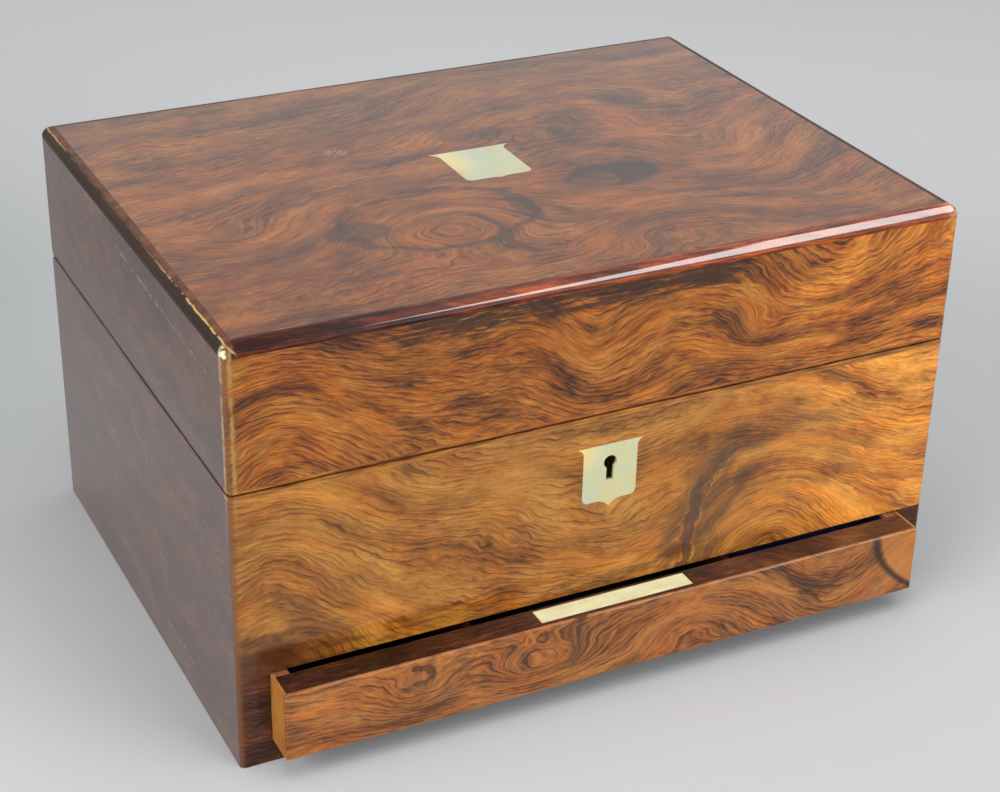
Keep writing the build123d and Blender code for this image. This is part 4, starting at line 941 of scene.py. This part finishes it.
# %% A velvet-covered card
def velvet_card(low, high, facing):
    """A crowned card that fills a box; facing is the direction of its showing face."""
    card = begin("card", bpy.ops.mesh.primitive_cube_add, low, high)
    facing = Vector(facing)
    thick = abs(sum(f * (h - l) for f, h, l in zip(facing, high, low))) / 1000
    spans = sorted((h - l) / 1000 for h, l in zip(high, low))
    pick(card, lambda face: face.normal.dot(facing) > 0.9)
    bpy.ops.transform.translate(value=-facing * thick * 0.35)
    for inset, rise in ((min(0.006, spans[1] * 0.16), 0.2), (min(0.012, spans[1] * 0.22), 0.14)):
        bpy.ops.mesh.inset(thickness=inset)
        bpy.ops.transform.translate(value=facing * thick * rise)
    soft = {"width": thick * 0.4, "segments": 2, "limit_method": "ANGLE", "angle_limit": math.radians(40)}
    return carry_out(card, ("BEVEL", soft), ("SUBSURF", {"levels": 1, "render_levels": 1}))


def four_walls(x0, x1, y0, y1, z0, z1, thick):
    """Cards up the four walls of a rectangular well, facing inwards."""
    return [
        velvet_card((x0, y0, z0), (x1, y0 + thick, z1), (0, 1, 0)),
        velvet_card((x0, y1 - thick, z0), (x1, y1, z1), (0, -1, 0)),
        velvet_card((x0, y0 + thick, z0), (x0 + thick, y1 - thick, z1), (1, 0, 0)),
        velvet_card((x1 - thick, y0 + thick, z0), (x1, y1 - thick, z1), (-1, 0, 0)),
    ]


# %% The cells of the fitted frame
CELL_FLOOR, CELL_TOP, PAD, LINING = 45, 113, 1.0, 0.8
FRONT, BACK, SIDE_END, MIDDLE_END = -96.8, 96.8, 136.8, 78
COLUMNS = ((-SIDE_END, -COLUMN_WALL), (COLUMN_WALL, SIDE_END))
OPEN_ROW = (-33.5, 33.5)
PIN_ROOM = 5.2  # the release pin stands in the back right cell, beside its pad
cells = [(*column, *row) for column in COLUMNS for row in ((36.5, BACK), OPEN_ROW, (FRONT, -36.5))]
cells += [(-MIDDLE_END, MIDDLE_END, 47.5, BACK), (-MIDDLE_END, MIDDLE_END, FRONT, 44.5)]
pads = []
for x0, x1, y0, y1 in cells:
    beside_pin = x1 == SIDE_END and y1 == BACK
    x1 = x1 - PIN_ROOM * beside_pin
    pads.append(velvet_card((x0, y0, CELL_FLOOR), (x1, y1, CELL_FLOOR + PAD), (0, 0, 1)))
cell_pads = hand_over(unite("cell_pads", pads), "base", velvet, "velvet", "cell_velvet")

linings = []
for column in COLUMNS:
    linings += four_walls(*column, *OPEN_ROW, CELL_FLOOR + PAD, CELL_TOP, LINING)
cell_linings = hand_over(unite("cell_linings", linings), "base", velvet, "velvet", "cell_velvet")

# %% The lid's lining and the drawer's
WELL_X, WELL_Y, LOW, BEHIND_MIRROR, HIGH = 140, 100, 119.4, 144.8, 147.4
lid_cards = four_walls(-WELL_X, WELL_X, -WELL_Y, WELL_Y, LOW, BEHIND_MIRROR, LINING)
across = WELL_X - LINING
lid_cards.append(velvet_card((-across, -WELL_Y, BEHIND_MIRROR), (across, LINING - WELL_Y, HIGH), (0, 1, 0)))
lid_velvet = hand_over(unite("lid_velvet_lining", lid_cards), "lid", velvet, "velvet", "lid_lining")

BOX_X, BOX_Y, DRAWER_FLOOR, DRAWER_RIM = 133, (-115, 73), 14.9, 38
drawer_cards = four_walls(-BOX_X, BOX_X, *BOX_Y, DRAWER_FLOOR, DRAWER_RIM, LINING)
drawer_cards.append(
    velvet_card((-BOX_X, BOX_Y[0], DRAWER_FLOOR - LINING), (BOX_X, BOX_Y[1], DRAWER_FLOOR), (0, 0, 1)))
drawer_velvet = hand_over(unite("drawer_velvet", drawer_cards), "drawer", velvet, "velvet", "drawer_lining")

# %% [markdown]
# ## The ring cushion
#
# Rings stand in a row of velvet rolls in the drawer's right-hand bay. One roll is a cylinder whose
# ends are inset and pushed out so that they close softly; it is squeezed upright to the bay's
# height, and an Array lays nine of them side by side, close enough to press on each other.

# %% Nine rolls
ROLLS, BAY_X, BAY_Y, BED, CROWN = 9, (59.8, 131.9), (-113.9, 71.9), 14.9, 33.3
pitch = (BAY_Y[1] - BAY_Y[0]) / ROLLS
long, high = BAY_X[1] - BAY_X[0], CROWN - BED
middle = ((BAY_X[0] + BAY_X[1]) / 2000, (BAY_Y[0] + pitch / 2) / 1000, (BED + high / 2) / 1000)
roll = begin("ring_rolls", bpy.ops.mesh.primitive_cylinder_add, vertices=20, radius=pitch / 2000,
             depth=(long - 7) / 1000, location=middle, rotation=(0, math.pi / 2, 0))
for side in (-1, 1):
    pick(roll, lambda face: face.normal.x * side > 0.9)
    for inset, push in ((0.0012, 0.0016), (0.0022, 0.0012), (0.003, 0.0007)):
        bpy.ops.mesh.inset(thickness=inset)
        bpy.ops.transform.translate(value=(side * push, 0, 0))
bpy.ops.object.mode_set(mode="OBJECT")
pick(roll, lambda face: True)
bpy.ops.transform.resize(value=(1, 1.04, high / pitch), center_override=middle)
carry_out(roll, ("ARRAY", {"count": ROLLS, "use_relative_offset": False, "use_constant_offset": True,
                           "constant_offset_displace": (0, pitch / 1000, 0)}),
          ("SUBSURF", {"levels": 2, "render_levels": 2}))
hand_over(roll, "drawer", velvet, "velvet", "ring_cushion")

# %% [markdown]
# ## The tray's velvet bed
#
# Five tools lie in a velvet bed, each in a hollow pressed into it. The bed is a fine grid: the
# vertices under a handle or a blade are picked and lowered, those between are raised a little,
# and a Smooth modifier rounds the steps as velvet over wadding would. Its rim is then extruded
# down to the tray's floor and closed.

# %% The bed and the pads of the side bays
BED_X, BED_Y, BED_TOP, BED_FLOOR = 39.5, (-93.3, 41), 107, 96.5
TOOLS = [(-30, 2.6), (-15, 2.6), (0.0, 4.6), (15, 2.6), (30, 2.8)]
bed = begin("tray_bed", bpy.ops.mesh.primitive_grid_add, (-BED_X, BED_Y[0], BED_TOP),
            (BED_X, BED_Y[1], BED_TOP), x_subdivisions=80, y_subdivisions=136)


def under_tool(vertex):
    """Whether a vertex lies under a handle or a blade."""
    x, y = vertex.co.x * 1000, vertex.co.y * 1000
    handle = any(abs(x - tool) < 4.2 for tool, _ in TOOLS) and -88.2 < y < -22
    blade = any(abs(x - tool) < wide + 0.6 for tool, wide in TOOLS) and -24 < y < 29.6
    return handle or blade


pick(bed, under_tool, "VERT")
bpy.ops.transform.translate(value=(0, 0, -0.0021))
pick(bed, lambda v: not under_tool(v) and abs(v.co.x) < 0.0375 and -0.091 < v.co.y < 0.039, "VERT")
bpy.ops.transform.translate(value=(0, 0, 0.0009))
carry_out(bed, ("SMOOTH", {"factor": 0.5, "iterations": 2}))
pick(bed, lambda face: True)
bpy.ops.mesh.region_to_loop()
bpy.ops.mesh.extrude_region_move(TRANSFORM_OT_translate={"value": (0, 0, (BED_FLOOR - BED_TOP) / 1000)})
bpy.ops.mesh.edge_face_add()
bpy.ops.mesh.select_all(action="SELECT")
bpy.ops.mesh.normals_make_consistent(inside=False)
carry_out(bed)
bays = [velvet_card((x0, BED_Y[0], BED_FLOOR), (x1, BED_Y[1], BED_FLOOR + PAD), (0, 0, 1))
        for x0, x1 in ((-74.5, -42.5), (42.5, 74.5))]
tray_velvet = hand_over(unite("tray_velvet_bed", [bed, *bays]), "base", velvet, "velvet", "tray_velvet")

# %% [markdown]
# ## The cloth under the box
#
# Felt is glued under the bottom so that the box doesn't scratch a table. It is cut 2.7 mm short of
# the box's faces all round. The sheet is a flat grid, Solidify gives it its 0.8 mm, and a small
# Bevel takes the hardness off its cut edge.

# %% The felt
FELT = (299.6, 219.6, 0.8)
sheet = begin("base_felt", bpy.ops.mesh.primitive_grid_add, (-FELT[0] / 2, -FELT[1] / 2, FELT[2]),
              (FELT[0] / 2, FELT[1] / 2, FELT[2]), x_subdivisions=60, y_subdivisions=44)
carry_out(sheet, ("SOLIDIFY", {"thickness": FELT[2] / 1000, "offset": -1.0}),
          ("BEVEL", {"width": 0.0002, "segments": 1, "limit_method": "ANGLE"}))
hand_over(sheet, "base", felt, "cloth", "base_cloth")

# %% [markdown]
# ## Nodes without a finish
#
# The last lines list the CAD nodes that have neither a finish nor a soft piece of their own.

# %% List the nodes without a finish
bare = [name for name in nodes if name not in dressed and name not in covered]
print("nodes without a finish or a soft piece of their own:", bare)
